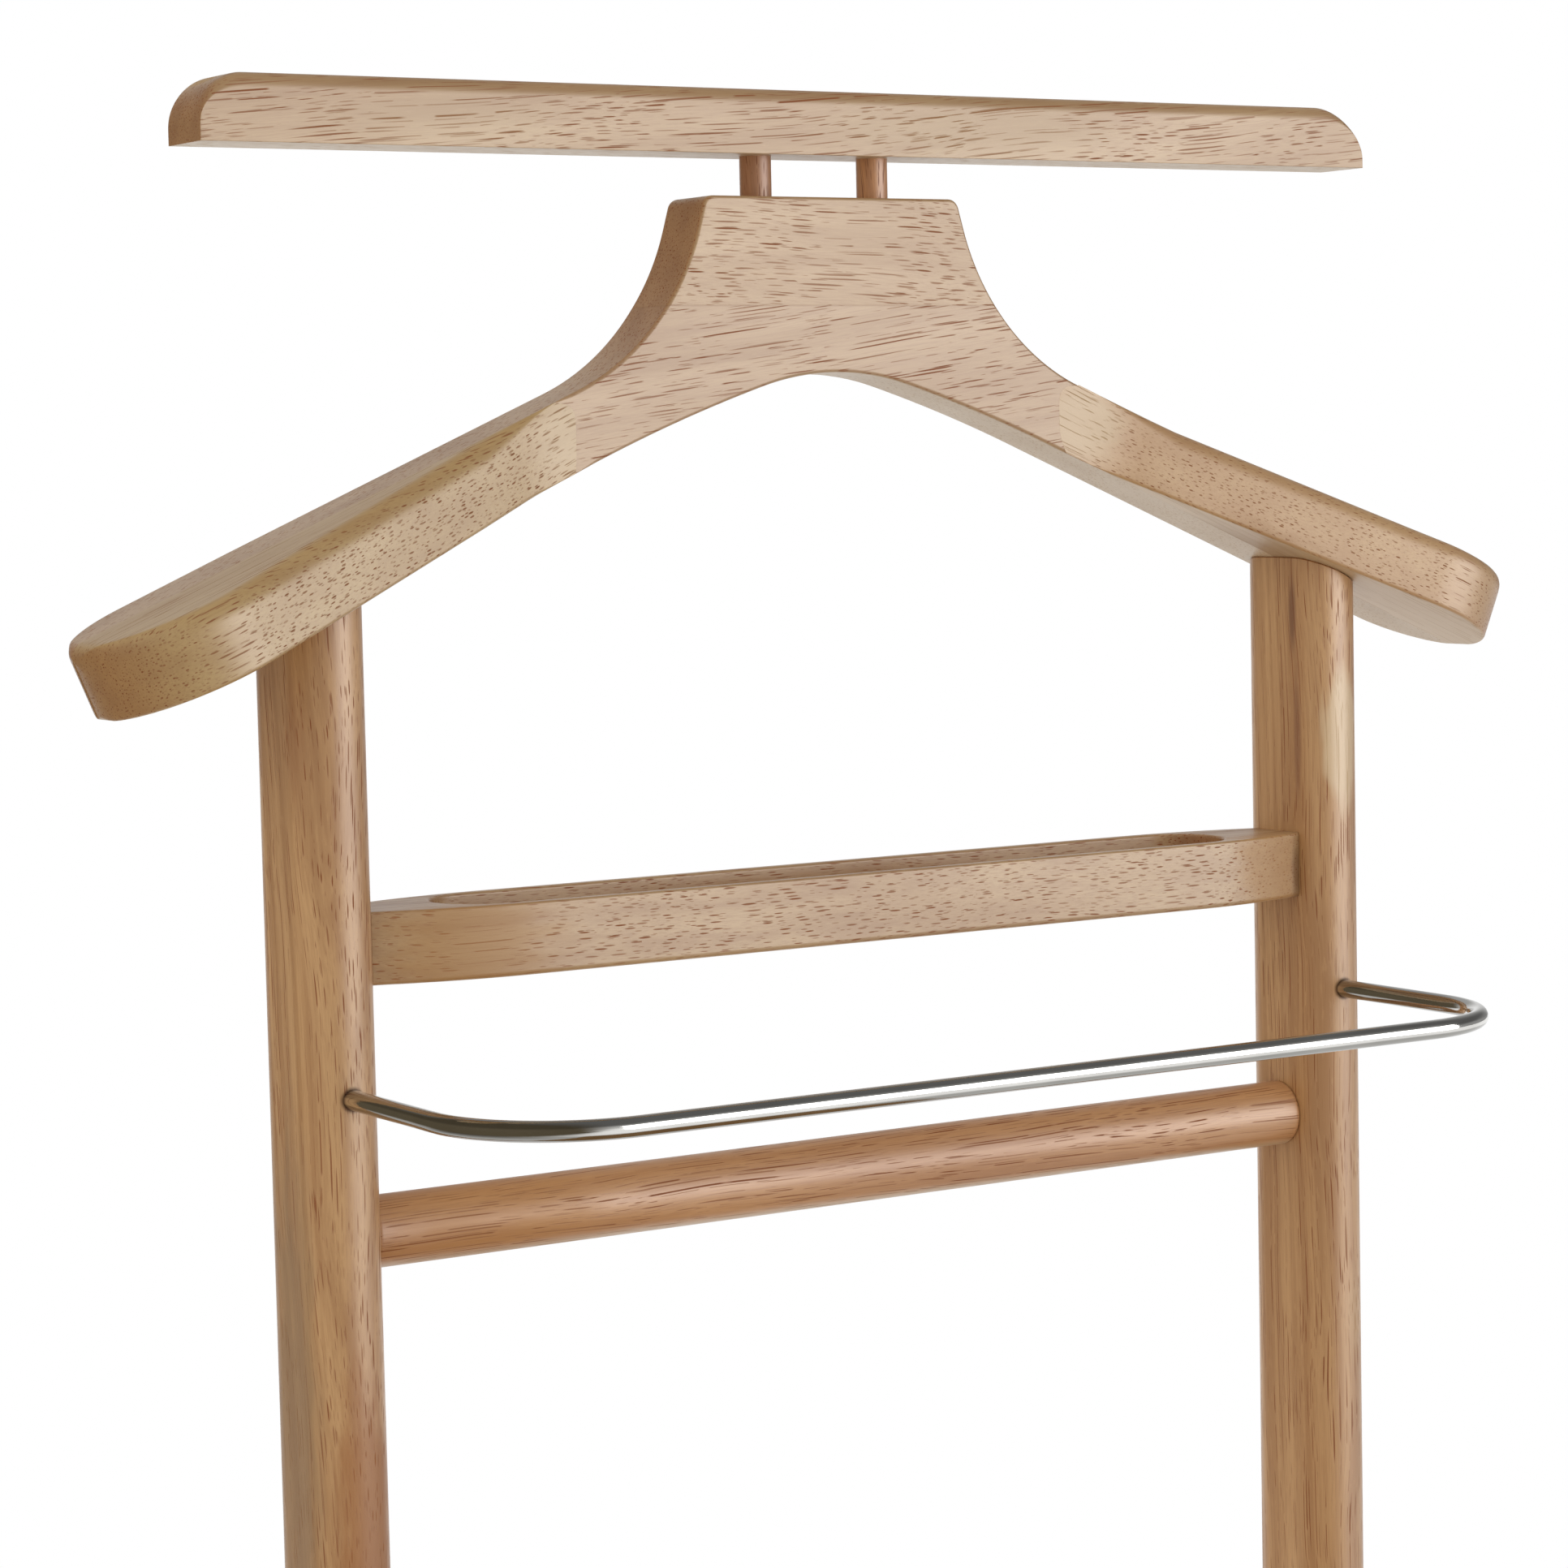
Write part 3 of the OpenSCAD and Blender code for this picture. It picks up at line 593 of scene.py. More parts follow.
def coreStations():
    # (top point, bottom point, thickness, rounds) from the middle to a tip
    h = hanger
    edge, low, upper = h["edgeR"], h["lowEdgeR"], h["topBackR"]
    flatSteps, arcSteps = 14, 22
    glueX = neckPoint(glueAngle)[0]
    arcLength = h["neckR"] * math.radians(glueAngle - slope)
    total = glueX + arcLength
    flatEnd = glueX - edge / sind(glueAngle) - 0.3
    found = [((x, -h["glueLine"]), archPoint(x / total), boardT, (0, 0, low, low))
             for x in [flatEnd * i / flatSteps for i in range(flatSteps + 1)]]
    for step in [i / arcSteps for i in range(arcSteps + 1)]:
        rounds = (edge + (h["neckEdgeR"] - edge) * step, edge + (upper - edge) * step, low, low)
        found.append((neckPoint(glueAngle + (slope - glueAngle) * step),
                      archPoint((glueX + arcLength * step) / total), boardT, rounds))
    neckEnd = found[-1][0]
    start = neckEnd[0] * cosd(slope) - neckEnd[1] * sind(slope)
    for x in armPlaces(start + 2):
        thick = max(0.05, planBack(x))
        fade = clamped((start + 10 - x) / 8)
        tipNear = clamped(1 - (h["tipReach"] - x) / h["backBlend"])
        rounds = (h["neckEdgeR"] * fade, min(upper + (h["tipEdgeR"] - upper) * tipNear, thick * 0.6),
                  min(low, thick * 0.4), low * fade)
        found.append((onArm(x, -h["armDrop"] - crownDrop(x, h["tipEdgeR"])),
                      onArm(x, -h["armDrop"] - h["armT"] + crownDrop(x, low)), thick, rounds))
    return found


def buildCore():
    rings, wearAndShade = [], []
    for top, bottom, thick, rounds in coreStations():
        high = math.dist(top, bottom)
        flat, marks = sectionRing(0.0, thick, high, rounds, 4, 4)
        ring = [(bottom[0] + (top[0] - bottom[0]) * h / high, v, bottom[1] + (top[1] - bottom[1]) * h / high)
                for v, h in flat]
        if abs(top[0] - neckPoint(glueAngle)[0]) < 1e-6:
            # the neck's rounded edge meets the glue plane level with the upper board's
            edge = rounds[0] + 1e-6
            ring = [(top[0] - (high - h) / sind(glueAngle), v, top[1]) if high - h < edge else point
                    for point, (v, h) in zip(ring, flat)]
        rings.append(ring)
        wearAndShade.append(marks)
    left = [[(-x, v, h) for x, v, h in ring] for ring in rings[:0:-1]]
    return pieceFromLoft("hangerCoreBoard", left + rings, wearAndShade[:0:-1] + wearAndShade, hangerPoint, zipped=True)


def buildBlock(side):
    h = hanger
    rings, wearAndShade = [], []
    start = lines["flareStart"] - h["flareBlend"] + h["noseStart"][side]
    for x in armPlaces(start):
        # the block thins out to nothing where it starts
        film = h["noseThin"] + min(1.0, (x - start) / h["noseRun"]) * h["noseFilm"]
        front, back = min(-film, planFront(x)), min(0.0, planBack(x))
        depth = max(0.01, back - front)
        tipFade = clamped((h["tipReach"] - x) / h["frontBlend"])
        foot = crownDrop(x, h["lowEdgeR"])
        high = h["armT"] - crownDrop(x, h["tipEdgeR"]) - foot
        shoulder = min(h["tipEdgeR"] + (h["shoulderR"] - h["tipEdgeR"]) * tipFade, depth * 0.96, high * 0.6)
        low = min(h["lowEdgeR"], depth * 0.45)
        flat, marks = sectionRing(front, back, high, (shoulder, 0, 0, low), 12, 7)
        nearNose = max(0.0, 1 - (x - start) / h["noseBlend"])
        ring = []
        for v, up in flat:
            rise = 2 * up / h["armT"] - 1
            sweep = h["noseTop" if rise > 0 else "noseLow"][side]
            lean = rise * h["armT"] / 2 * tand(slope)  # the seam stands upright
            px, pz = onArm(x + (sweep * rise ** 4 - lean) * nearNose, up + foot - h["armDrop"] - h["armT"])
            ring.append((side * px, v, pz))
        rings.append(ring)
        wearAndShade.append([mark * 0.5 for mark in marks])
    if side < 0:
        wearAndShade[0] = 0.7
        rings.reverse()
        wearAndShade.reverse()
    return pieceFromLoft("shoulderBlock" + sides[side], rings, wearAndShade, hangerPoint, zipped=True)


def buildYoke():
    h = hanger
    corner = (h["yokeHalf"] - h["yokeCornerR"] * tand(h["flank"] / 2), -h["yokeCornerR"])
    half = [neckPoint(glueAngle + (h["flank"] - glueAngle) * i / 12) for i in range(13)]
    outline = mirrorOutline(half + arcPoints(corner, h["yokeCornerR"], 90 - h["flank"], 90, 7))
    rings, wearAndShade = [], []
    for inset, v, mark in edgeLevels(0.0, boardT, h["edgeR"], h["edgeR"], 5):
        ring = insetOutline(outline, inset)
        step = outline[0][0] - inset / sind(glueAngle)
        ring[0], ring[-1] = (step, -h["glueLine"]), (-step, -h["glueLine"])
        rings.append([(x, v, z) for x, z in ring])
        wearAndShade.append(mark)
    return pieceFromLoft("yokeUpperBoard", rings, wearAndShade, hangerPoint)


hangerAxes = frameOf(hangerPoint)
# dark brown for the glue seams, and for painted shade under the right arm where it sits on the post
seamAndShadeBrown = (0.26, 0.12, 0.05)
glueSeam = patch((0, 0, -hanger["glueLine"] * metre), (0.4, 0.4, 0.0005), seamAndShadeBrown, 0.25, 0.0, 0.0, 0.2)
dressWood(buildCore(), "coreWood", hangerAxes, "pink", 1, "hanger_core", bands=0.4, sway=0.003,
          tilt=(0, -7.5, 1.6), patches=[glueSeam], pore=0.95)
for side, tone, seed, paleness, pore in ((-1, "green", 3, 0.35, 1.0), (1, "soft", 4, 0.65, 0.85)):
    axes = frameOf(hangerPoint, along=(cosd(slope), 0, -side * sind(slope)))
    spots = [patch((side * 0.104, 0, -0.0265), (0.019, 0.01, 0.014), (0.60, 0.43, 0.23), paleness, 0.2, 0.45)]
    if side > 0:
        # painted shade on the arm's underside above the right post, without gloss
        spots.append(patch((0.178, 0.0, -0.0375), (0.034, 0.03, 0.008), seamAndShadeBrown, 0.5, 0.3, 0.1, 0.75))
    word = sides[side].lower()
    dressWood(buildBlock(side), word + "BlockWood", axes, tone, seed, "shoulder_block_" + word, bands=0.25,
              vessels=0.9, sway=0.003, patches=spots, pore=pore)
dressWood(buildYoke(), "yokeWood", hangerAxes, "tan", 2, "yoke_top_board", bands=0.2, tilt=(0, 2, 3.6),
          patches=[glueSeam], pore=1.05)
print("stage: hanger shaped")

bar = {"length": 388.0, "height": 18.3, "gap": 11.7, "rightCornerR": 16.4, "leftCornerR": 14.2, "frontR": 4.4,
       "backR": 1.0, "lowerR": 0.3, "dowelGap": 39.3, "dowelD": 9.0, "intoBoard": 25.0, "intoBar": 14.0}


def buildBar():
    # the ends are cut square to the front; the upper long edges are rounded over
    half, gap, small, steps = bar["length"] / 2, bar["gap"], bar["lowerR"], 26
    top = gap + bar["height"]
    right, left = [[(half, gap), (half, gap + 0.9)] + arcPoints((half - r, top - r), r, 0, 90, steps)
                   + [(half * f, top) for f in (0.8, 0.6, 0.4, 0.2)]
                   for r in (bar["rightCornerR"], bar["leftCornerR"])]
    lower = [(half * f, gap) for f in (-0.8, -0.4, 0, 0.4, 0.8)]
    outline = right + [(-x, z) for x, z in reversed(left)] + lower
    front, back = [[(r * (1 - c), r, mark * 0.6) for c, s, mark in quarterSteps(8)]
                   for r in (bar["frontR"], bar["backR"])]
    rings, wearAndShade = [], []
    for v, r, mark in front + back[::-1]:
        inset, drop = small - chord(small, max(0, small - v)), r - chord(r, r - v)
        # the round-over runs out where the corner turns down into the end
        corner = [max(inset, drop * sind(90 * k / steps) ** 2) for k in range(steps + 1)]
        fall = [inset] * 2 + corner + [drop] * 4
        moved = insetOutline(outline, fall + fall[::-1] + [inset] * len(lower))
        rings.append([(x, v if len(rings) < len(front) else boardT - v, z) for x, z in moved])
        wearAndShade.append(mark)
    return pieceFromLoft("trouserBar", rings, wearAndShade, hangerPoint)


dressWood(buildBar(), "barWood", hangerAxes, "tan", 5, "top_bar", vessels=0.95, sway=0.006,
          tilt=(0, -5.0, 2.2), patches=[
              patch((0.05, 0, 0.02), (0.07, 0.05, 0.012), (0.50, 0.34, 0.15), 0.35, 0.4),
              patch((-0.12, 0, 0.018), (0.05, 0.05, 0.01), (0.52, 0.35, 0.16), 0.3, 0.4),
              # painted shade: the top round-over and top face darker and without gloss, as they face away
              # from the light
              patch((0, 0.0165, 0.0302), (0.6, 0.0125, 0.004), (0.46, 0.30, 0.14), 0.6, 0.1, 0.7, 1.0),
              # painted shade on the left end, the side turned away from the light
              patch((-0.197, 0.012, 0.02), (0.0045, 0.05, 0.03), (0.26, 0.125, 0.04), 0.65, 0.1, 0.3, 0.5)])


def barDowel(side):
    r, low, high = bar["dowelD"] / 2, -bar["intoBoard"], bar["gap"] + bar["intoBar"]
    x, chamfer, rim = side * bar["dowelGap"] / 2, 1.0, 1.3
    profile = [(low, r - chamfer), (low + chamfer, r), (low + rim, r), (high - rim, r), (high - chamfer, r),
               (high, r - chamfer)]
    return lathe("dowel", profile, lambda a, b, c: hangerPoint(x + b, boardT / 2 + c, a), 48)


dowelAxes = frameOf(hangerPoint, along=(0, 0, 1))
# painted shade on the left dowel, between the hanger and the bar
leftDowelShade = patch((0.005, 0.01, 0.0197), (0.02, 0.02, 0.008), (0.24, 0.09, 0.035), 0.4, 0.5)
dressWood(joined("barDowels", [barDowel(side) for side in sides]), "barDowelWood", dowelAxes, "dark", 6,
          "top_bar_dowels", turned=True, bands=0.7, vessels=0.8, tilt=(0, 0, 3), patches=[leftDowelShade])
print("stage: bar and dowels made")

upright = {"width": 21.5, "depth": 37.0, "glide": 3.0, "footEdge": 1.2, "topEdge": 0.5}


def uprightOutline():
    # rounded front and back, flat sides; counter-clockwise from above
    r, flat = upright["width"] / 2, (-0.5, 0, 0.5)
    straight = upright["depth"] / 2 - r
    return (arcPoints((0, straight), r, 0, 180, 14) + [(-r, -straight * f) for f in flat]
            + arcPoints((0, -straight), r, 180, 360, 14) + [(r, straight * f) for f in flat])


def buildPost(side):
    x0, edge, topEdge = side * postX, upright["footEdge"], upright["topEdge"]
    outline = uprightOutline()

    def foot(v, lift):
        return (upright["glide"] + lift + v * rakeSin) / rakeCos

    def top(x):
        return chair["hangerHeight"] + lines["armUnder"] - tand(slope) * abs(x0 + x)

    rings = [[(x0 + x, v, foot(v, 0)) for x, v in insetOutline(outline, edge)]]
    rings += [[(x0 + x, v, foot(v, edge) + (top(x) - topEdge - foot(v, edge)) * share) for x, v in outline]
              for share in (0, 0.004, 0.1, 0.3, 0.5, 0.7, 0.9, 0.996, 1)]
    rings += [[(x0 + x, v, top(x)) for x, v in insetOutline(outline, topEdge)]]
    # the foot's edge is darker, and the top darkest: painted contact shade where the arm sits on the post
    return pieceFromLoft("post" + sides[side], rings, [0.6, 0.3] + [0] * 8 + [1], backPoint)


def buildLeg(side):
    outline, edge, glide = uprightOutline(), upright["footEdge"], upright["glide"]
    loops = [(insetOutline(outline, edge), glide)]
    loops += [(outline, z) for z in (glide + edge, 6, 120, 240, 360, seatUnder)]
    rings = [[(side * postX + x, legY + y, z) for x, y in loop] for loop, z in loops]
    return pieceFromLoft("frontLeg" + sides[side], rings, [0.6, 0.3] + [0] * 5, floorPoint)


postMarks = {
    -1: [patch((0.906, -0.010, 0.0095), (0.026, 0.006, 0.005), (0.40, 0.17, 0.06), 0.5, 0.4),
         patch((0.690, -0.014, -0.0010), (0.062, 0.014, 0.0105), (0.38, 0.15, 0.048), 0.7, 0.35, 0.6, 0.5),
         patch((0.720, 0.0, 0.0108), (0.110, 0.020, 0.004), (0.31, 0.18, 0.085), 0.65, 0.4)],
    1: [patch((0.926, -0.0085, 0.0108), (0.016, 0.0022, 0.005), (0.20, 0.075, 0.03), 0.7, 0.2),
        patch((0.888, -0.0100, 0.0105), (0.030, 0.0020, 0.004), (0.26, 0.10, 0.04), 0.6, 0.3),
        patch((0.889, -0.018, -0.0008), (0.026, 0.012, 0.0078), (0.74, 0.54, 0.31), 0.75, 0.4, 0.6),
        patch((0.710, -0.018, -0.003), (0.022, 0.010, 0.004), (0.66, 0.42, 0.20), 0.45, 0.4)],
}
# painted shade: a dark ring where the wire enters each post, standing in for the shaded bore
wireHoleShade = patch((0.8114, -0.0185, 0.0), (0.0039, 0.006, 0.0039), (0.06, 0.025, 0.012), 0.9, 0.0, 0.65, 0.9)
for side, name in sides.items():
    axes = frameOf(backPoint, (side * postX, 0, 0), (0, 0, 1))
    dressWood(buildPost(side), "post" + name + "Wood", axes, "gold", 7 + side, "post_" + name.lower(),
              bands=0.75, sway=0.006, tilt=(0, 0, 4 if side < 0 else 1.6),
              patches=[wireHoleShade] + postMarks[side], pore=0.9)
    axes = frameOf(floorPoint, (side * postX, legY, 0), (0, 0, 1))
    dressWood(buildLeg(side), "leg" + name + "Wood", axes, "gold", 11 + side, "front_leg_" + name.lower(),
              bands=0.4, tilt=(0, 0, 3))
print("stage: posts and legs made")

tray = {"drop": 190.5, "thick": 19.7, "width": 37.6, "middle": 224.0, "curveR": 125.0, "hollowL": 265.0,
        "hollowW": 30.4, "hollowDepth": 9.0, "lowR": 1.6, "topR": 0.8, "lipR": 0.9, "coveR": 5.0}


def trayQuarters():
    # a quarter of the outside and of the hollow, from the long axis to before the short one
    halfMid, halfW, curveR = tray["middle"] / 2, tray["width"] / 2, tray["curveR"]
    turn = math.degrees(math.asin((halfGap - halfMid) / curveR))
    endW = halfW - curveR * (1 - cosd(turn))
    outer = [(halfGap, endW * f) for f in (0.0, 0.35, 0.7, 1.0)]
    outer += arcPoints((halfMid, halfW - curveR), curveR, 90 - turn, 90, 12)[1:]
    outer += [(halfMid * f, halfW) for f in (0.8, 0.6, 0.4, 0.2)]
    r = tray["hollowW"] / 2
    straight = tray["hollowL"] / 2 - r
    return outer, arcPoints((straight, 0), r, 0, 90, 13) + [(straight * (1 - i / 7), r) for i in range(1, 7)]


def fourQuarters(quarter):
    upper = quarter + [(0.0, quarter[-1][1])] + [(-x, y) for x, y in reversed(quarter)]
    return upper + [(x, -y) for x, y in reversed(upper[1:-1])]


def buildTray():
    outer, inner = [fourQuarters(quarter) for quarter in trayQuarters()]
    low, top, lip, cove = [tray[key] for key in ("lowR", "topR", "lipR", "coveR")]
    thick, deep, flat = tray["thick"], tray["hollowDepth"], 1.5
    # (loop, inset, height, edge wear and painted shade) from the underside round the edge and down into the
    # hollow
    levels = [(outer, low + flat, -thick, 0)]
    levels += [(outer, low * (1 - s), low * (1 - c) - thick, mark * 0.6) for c, s, mark in quarterSteps(5)]
    levels += [(outer, top * (1 - c), -top * (1 - s), mark) for c, s, mark in quarterSteps(3)]
    levels += [(inner, lip * (s - 1), -lip * (1 - c), mark) for c, s, mark in quarterSteps(3)]
    levels += [(inner, cove * (1 - c), cove * (1 - s) - deep, 0) for c, s, mark in quarterSteps(5)]
    levels += [(inner, cove + flat, -deep, 0)]
    # the ends stay flat against the posts
    rings = [[(x if abs(abs(x) - halfGap) < 1e-6 else movedX, v, height - tray["drop"])
              for (x, y), (movedX, v) in zip(loop, insetOutline(loop, inset))]
             for loop, inset, height, mark in levels]
    return pieceFromLoft("accessoryTray", rings, [level[3] for level in levels], hangerPoint)


trayAxes = frameOf(hangerPoint, (0, 0, -tray["drop"]))
dressWood(buildTray(), "trayWood", trayAxes, "tan", 15, "accessory_tray", bands=0.5, vessels=0.9,
          tilt=(0, 0, -7), pore=0.95, patches=[
              # painted shade in the hollow, darker and matt
              patch((0, 0.008, -0.006), (0.14, 0.0105, 0.0075), (0.36, 0.175, 0.052), 0.75, 0.1, 0.55, 0.95),
              # painted shade on the curved ends, which turn from the light, with less gloss
              patch((-0.130, -0.016, -0.010), (0.040, 0.012, 0.03), (0.46, 0.235, 0.08), 0.5, 0.3, 0.3, 0.55),
              patch((0.142, -0.014, -0.010), (0.022, 0.012, 0.03), (0.52, 0.270, 0.10), 0.5, 0.3, 0.3, 0.6),
              # painted contact shadow where the tray meets the right post
              patch((0.156, -0.012, -0.012), (0.004, 0.02, 0.014), (0.12, 0.05, 0.02), 0.6, 0.3, 0.25, 0.7)])
print("stage: tray made")

# the tie bar is a wire swept along its path by Geometry Nodes
tie = {"drop": 238.6, "reach": 103.0, "diameter": 5.5, "bendR": 38.0, "legEnd": -4.5}


def shapeTree(name, build, **inputs):
    # build makes the shape from the named inputs; the tree ends in plain geometry with its material
    sockets = [(label, kind, None) for label, kind in inputs.items()] + [("Finish", "Material", None)]
    group, w, given, end = newGroup(name, "Geometry", sockets, [("Shape", "Geometry")])
    real = w.add("RealizeInstances", {0: build(w, given)})
    w.feed(end.inputs[0], w.add("SetMaterial", {"Geometry": real, "Material": given["Finish"]}))
    return group


def sweptWire(w, given):
    curve = w.add("MeshToCurve", {0: given["Path"]})
    circle = w.add("CurvePrimitiveCircle", {"Radius": given["Radius"], "Resolution": given["Sides"]})
    wire = w.add("CurveToMesh", {"Curve": curve, "Profile Curve": circle, "Fill Caps": True})
    return w.add("SetShadeSmooth", {"Geometry": wire})


def throughTree(name, mesh, tree, **inputs):
    # each input of the modifier is set by its socket's identifier
    made = addObject(name, mesh)
    modifier = made.modifiers.new(tree.name, "NODES")
    modifier.node_group = tree
    for item in tree.interface.items_tree:
        if item.item_type == "SOCKET" and item.in_out == "INPUT" and item.name in inputs:
            modifier[item.identifier] = inputs[item.name]
    return settle(made)


def buildTie(material):
    reach, bendR = tie["reach"], tie["bendR"]
    bendX = postX - bendR
    half = [(postX, v) for v in (tie["legEnd"], -20.0, -40.0, -55.0)]
    half += arcPoints((bendX, bendR - reach), bendR, 0, -90, 18)
    half += [(bendX * f, -reach) for f in (0.75, 0.5, 0.25)]
    path = half + [(0.0, -reach)] + [(-x, v) for x, v in reversed(half)]
    mesh = bpy.data.meshes.new("tieBar")
    mesh.from_pydata([hangerPoint(x, v, -tie["drop"]) * metre for x, v in path],
                     [(i, i + 1) for i in range(len(path) - 1)], [])
    tree = shapeTree("sweptWire", sweptWire, Path="Geometry", Radius="Float", Sides="Int")
    return throughTree("tieBar", mesh, tree, Radius=tie["diameter"] / 2 * metre, Sides=32, Finish=material)


chromeFinish = metalMaterial("chromedWire", (0.78, 0.77, 0.74), 0.07, 0.04, 1.0)
handOver(buildTie(chromeFinish), "tie_bar")
print("stage: tie bar swept")

rail = {"drop": 277.9, "diameter": 19.6, "tenonD": 12.0, "tenonL": 12.0, "shoulder": 0.8, "shoeZ": 135.0,
        "shoePitch": 95.0, "shoeMiddle": -5.4, "shoeHalf": 158.75}


def railProfile(half):
    r, t, s = rail["diameter"] / 2, rail["tenonD"] / 2, rail["shoulder"]
    end = half + rail["tenonL"]
    one = [(end, t - 1), (end - 1, t), (half + 0.02, t), (half, t + 0.02), (half, r - s),
           (half - s * 0.3, r - s * 0.3), (half - s, r), (half - s - 0.5, r), (half * 0.5, r)]
    return [(-a, b) for a, b in one] + [(0.0, r)] + one[::-1]


backRail = lathe("backRail", railProfile(halfGap), lambda a, b, c: hangerPoint(a, b, c - rail["drop"]), 64)
dressWood(backRail, "backRailWood", frameOf(hangerPoint, (0, 0, -rail["drop"])), "red", 17, "back_rail",
          turned=True, bands=0.5, vessels=0.9, tilt=(0, 0, 1.5),
          # painted shade on the rail's left end, with its gloss taken away
          patches=[patch((-0.125, 0, 0), (0.055, 0.03, 0.03), (0.50, 0.25, 0.09), 0.3, 0.4, 0.3, 0.6)])
for k, name in enumerate(("Front", "Middle", "Rear")):
    y = rail["shoeMiddle"] + (k - 1) * rail["shoePitch"]
    shoeRail = lathe("shoeRail" + name, railProfile(rail["shoeHalf"]),
                     lambda a, b, c, y=y: floorPoint(a, y + b, rail["shoeZ"] + c), 48)
    dressWood(shoeRail, "shoeRail" + name + "Wood", frameOf(floorPoint, (0, y, rail["shoeZ"])), "red", 20 + k,
              "shoe_rail_" + name.lower(), turned=True, bands=0.5, vessels=0.8, tilt=(0, 0, 1.5))
print("stage: rails turned")

seat = {"thick": 20.0, "width": 400.0, "reach": 368.0, "cornerR": 40.0, "topR": 3.5, "lowR": 2.0,
        "stave": 66.0, "notchGap": 1.0, "notchWay": 12.0, "backEdge": 2.0}


def seatOutline():
    half, r, gap, edge = seat["width"] / 2, seat["cornerR"], seat["notchGap"], seat["backEdge"]
    front = backY - seat["reach"]
    shoulder = backY + seatUnder * tand(chair["rake"]) - upright["depth"] / 2 - gap
    inner, outer = halfGap - gap, halfGap - gap + seat["notchWay"]
    points = [(inner, shoulder + upright["depth"] + gap), (inner, shoulder + seat["notchWay"])]
    points += [(x, shoulder) for x in (inner, outer, half - edge)] + [(half, shoulder - edge), (half, 0)]
    return mirrorOutline(points + arcPoints((half - r, front + r), r, 0, -90, 14))[::-1]


seatLevels = edgeLevels(seatUnder, seatUnder + seat["thick"], seat["lowR"], seat["topR"], 5)
stave = seat["stave"] * metre
staveTints = ((0.60, 0.36, 0.18), (0.42, 0.22, 0.09), (0.56, 0.30, 0.14), (0.62, 0.39, 0.20),
              (0.48, 0.25, 0.11), (0.58, 0.34, 0.17))
staves = [patch((0, (k - 2.5) * stave, 0), (5, stave * 0.52, 5), tint, 0.30, 0.0, 0.9, 0.9)
          for k, tint in enumerate(staveTints)]
dressWood(boardPiece("seatPanel", seatOutline(), seatLevels, floorPoint), "seatWood",
          frameOf(floorPoint, (0, 0, seatUnder), (0, 1, 0), (1, 0, 0)), "tan", 26, "seat_panel",
          bands=0.5, vessels=0.75, tilt=(0, 2, 2), patches=staves)
print("stage: seat made")

under = {"apronT": 18.0, "apronH": 45.0, "stretcherH": 30.0, "stretcherZ": 135.0, "housing": 6.0, "edge": 1.6,
         "apronOut": 5.0, "blockL": 44.0, "blockH": 28.0, "blockEdge": 0.8, "blockCut": 6.0, "legClear": 1.0}
halfT = under["apronT"] / 2
apronZ = seatUnder - under["apronH"]
frontApronY = legY - under["apronOut"]
rearApronY = backY + (seatUnder - under["apronH"] / 2) * tand(chair["rake"])
housedFront = legY + upright["depth"] / 2 - under["housing"]


def housedBack(z):
    return backY + z * tand(chair["rake"]) - upright["depth"] / 2 + under["housing"]


def underBoard(name, low, high, along, node, seed):
    # a planed board whose four long edges are eased; along is the axis of its length
    (a, c), (b, d) = [(low[i] + under["edge"], high[i] - under["edge"]) for i in range(3) if i != along]
    loop = []
    for i, centre in enumerate(((a, b), (c, b), (c, d), (a, d))):
        loop += arcPoints(centre, under["edge"], 180 + 90 * i, 270 + 90 * i, 4)
    rings = []
    for share in (0, 0.02, 0.25, 0.5, 0.75, 0.98, 1):
        reach = low[along] + (high[along] - low[along]) * share
        rings.append([(*point[:along], reach, *point[along:]) for point in loop])
    wearAndShade = [mark for c, s, mark in quarterSteps(4)] * 4
    board = pieceFromLoft(name, rings, [wearAndShade] * len(rings), floorPoint)
    axes = frameOf(floorPoint, [(p + q) / 2 for p, q in zip(low, high)], [int(i == along) for i in range(3)],
                   (0, 0, 1))
    dressWood(board, name + "Wood", axes, "tan", seed, node, bands=0.45, tilt=(0, 2, 3))


for y, word, seed in ((frontApronY, "Front", 30), (rearApronY, "Rear", 31)):
    underBoard("apron" + word, (-halfGap, y - halfT, apronZ), (halfGap, y + halfT, seatUnder), 0,
               "seat_apron_" + word.lower(), seed)
for side, word in sides.items():
    x, seed = side * postX, 33 + side
    stretcherTop = under["stretcherZ"] + under["stretcherH"] / 2
    for name, node, top, high, k in (("apron", "seat_apron_", seatUnder, under["apronH"], 0),
                                     ("stretcher", "side_stretcher_", stretcherTop, under["stretcherH"], 1)):
        underBoard(name + word, (x - halfT, housedFront, top - high), (x + halfT, housedBack(top), top), 1,
                   node + word.lower(), seed + k)

blockX = postX - halfT
corners = [(side, way) for side in sides for way in (1, -1)]  # way is 1 at the front and -1 at the rear


def cornerPlace(side, way):
    start = (frontApronY if way > 0 else rearApronY) + way * halfT
    return lambda x, y, z: floorPoint(side * x, start + way * y, z)


def buildCornerBlock(side, way):
    size, clear, cut = under["blockL"], under["legClear"], under["blockCut"]
    if way > 0:
        reach = legY + upright["depth"] / 2 - frontApronY - halfT
    else:
        reach = rearApronY - halfT - (housedBack(apronZ) - under["housing"])
    outline = [(blockX - size, 0), (halfGap - clear, 0), (halfGap - clear, reach + clear),
               (blockX, reach + clear), (blockX, size), (blockX - cut, size), (blockX - size, cut)]
    levels = edgeLevels(seatUnder - under["blockH"], seatUnder, under["blockEdge"], under["blockEdge"], 3)
    return boardPiece("cornerBlock", outline, levels, cornerPlace(side, way), 50)


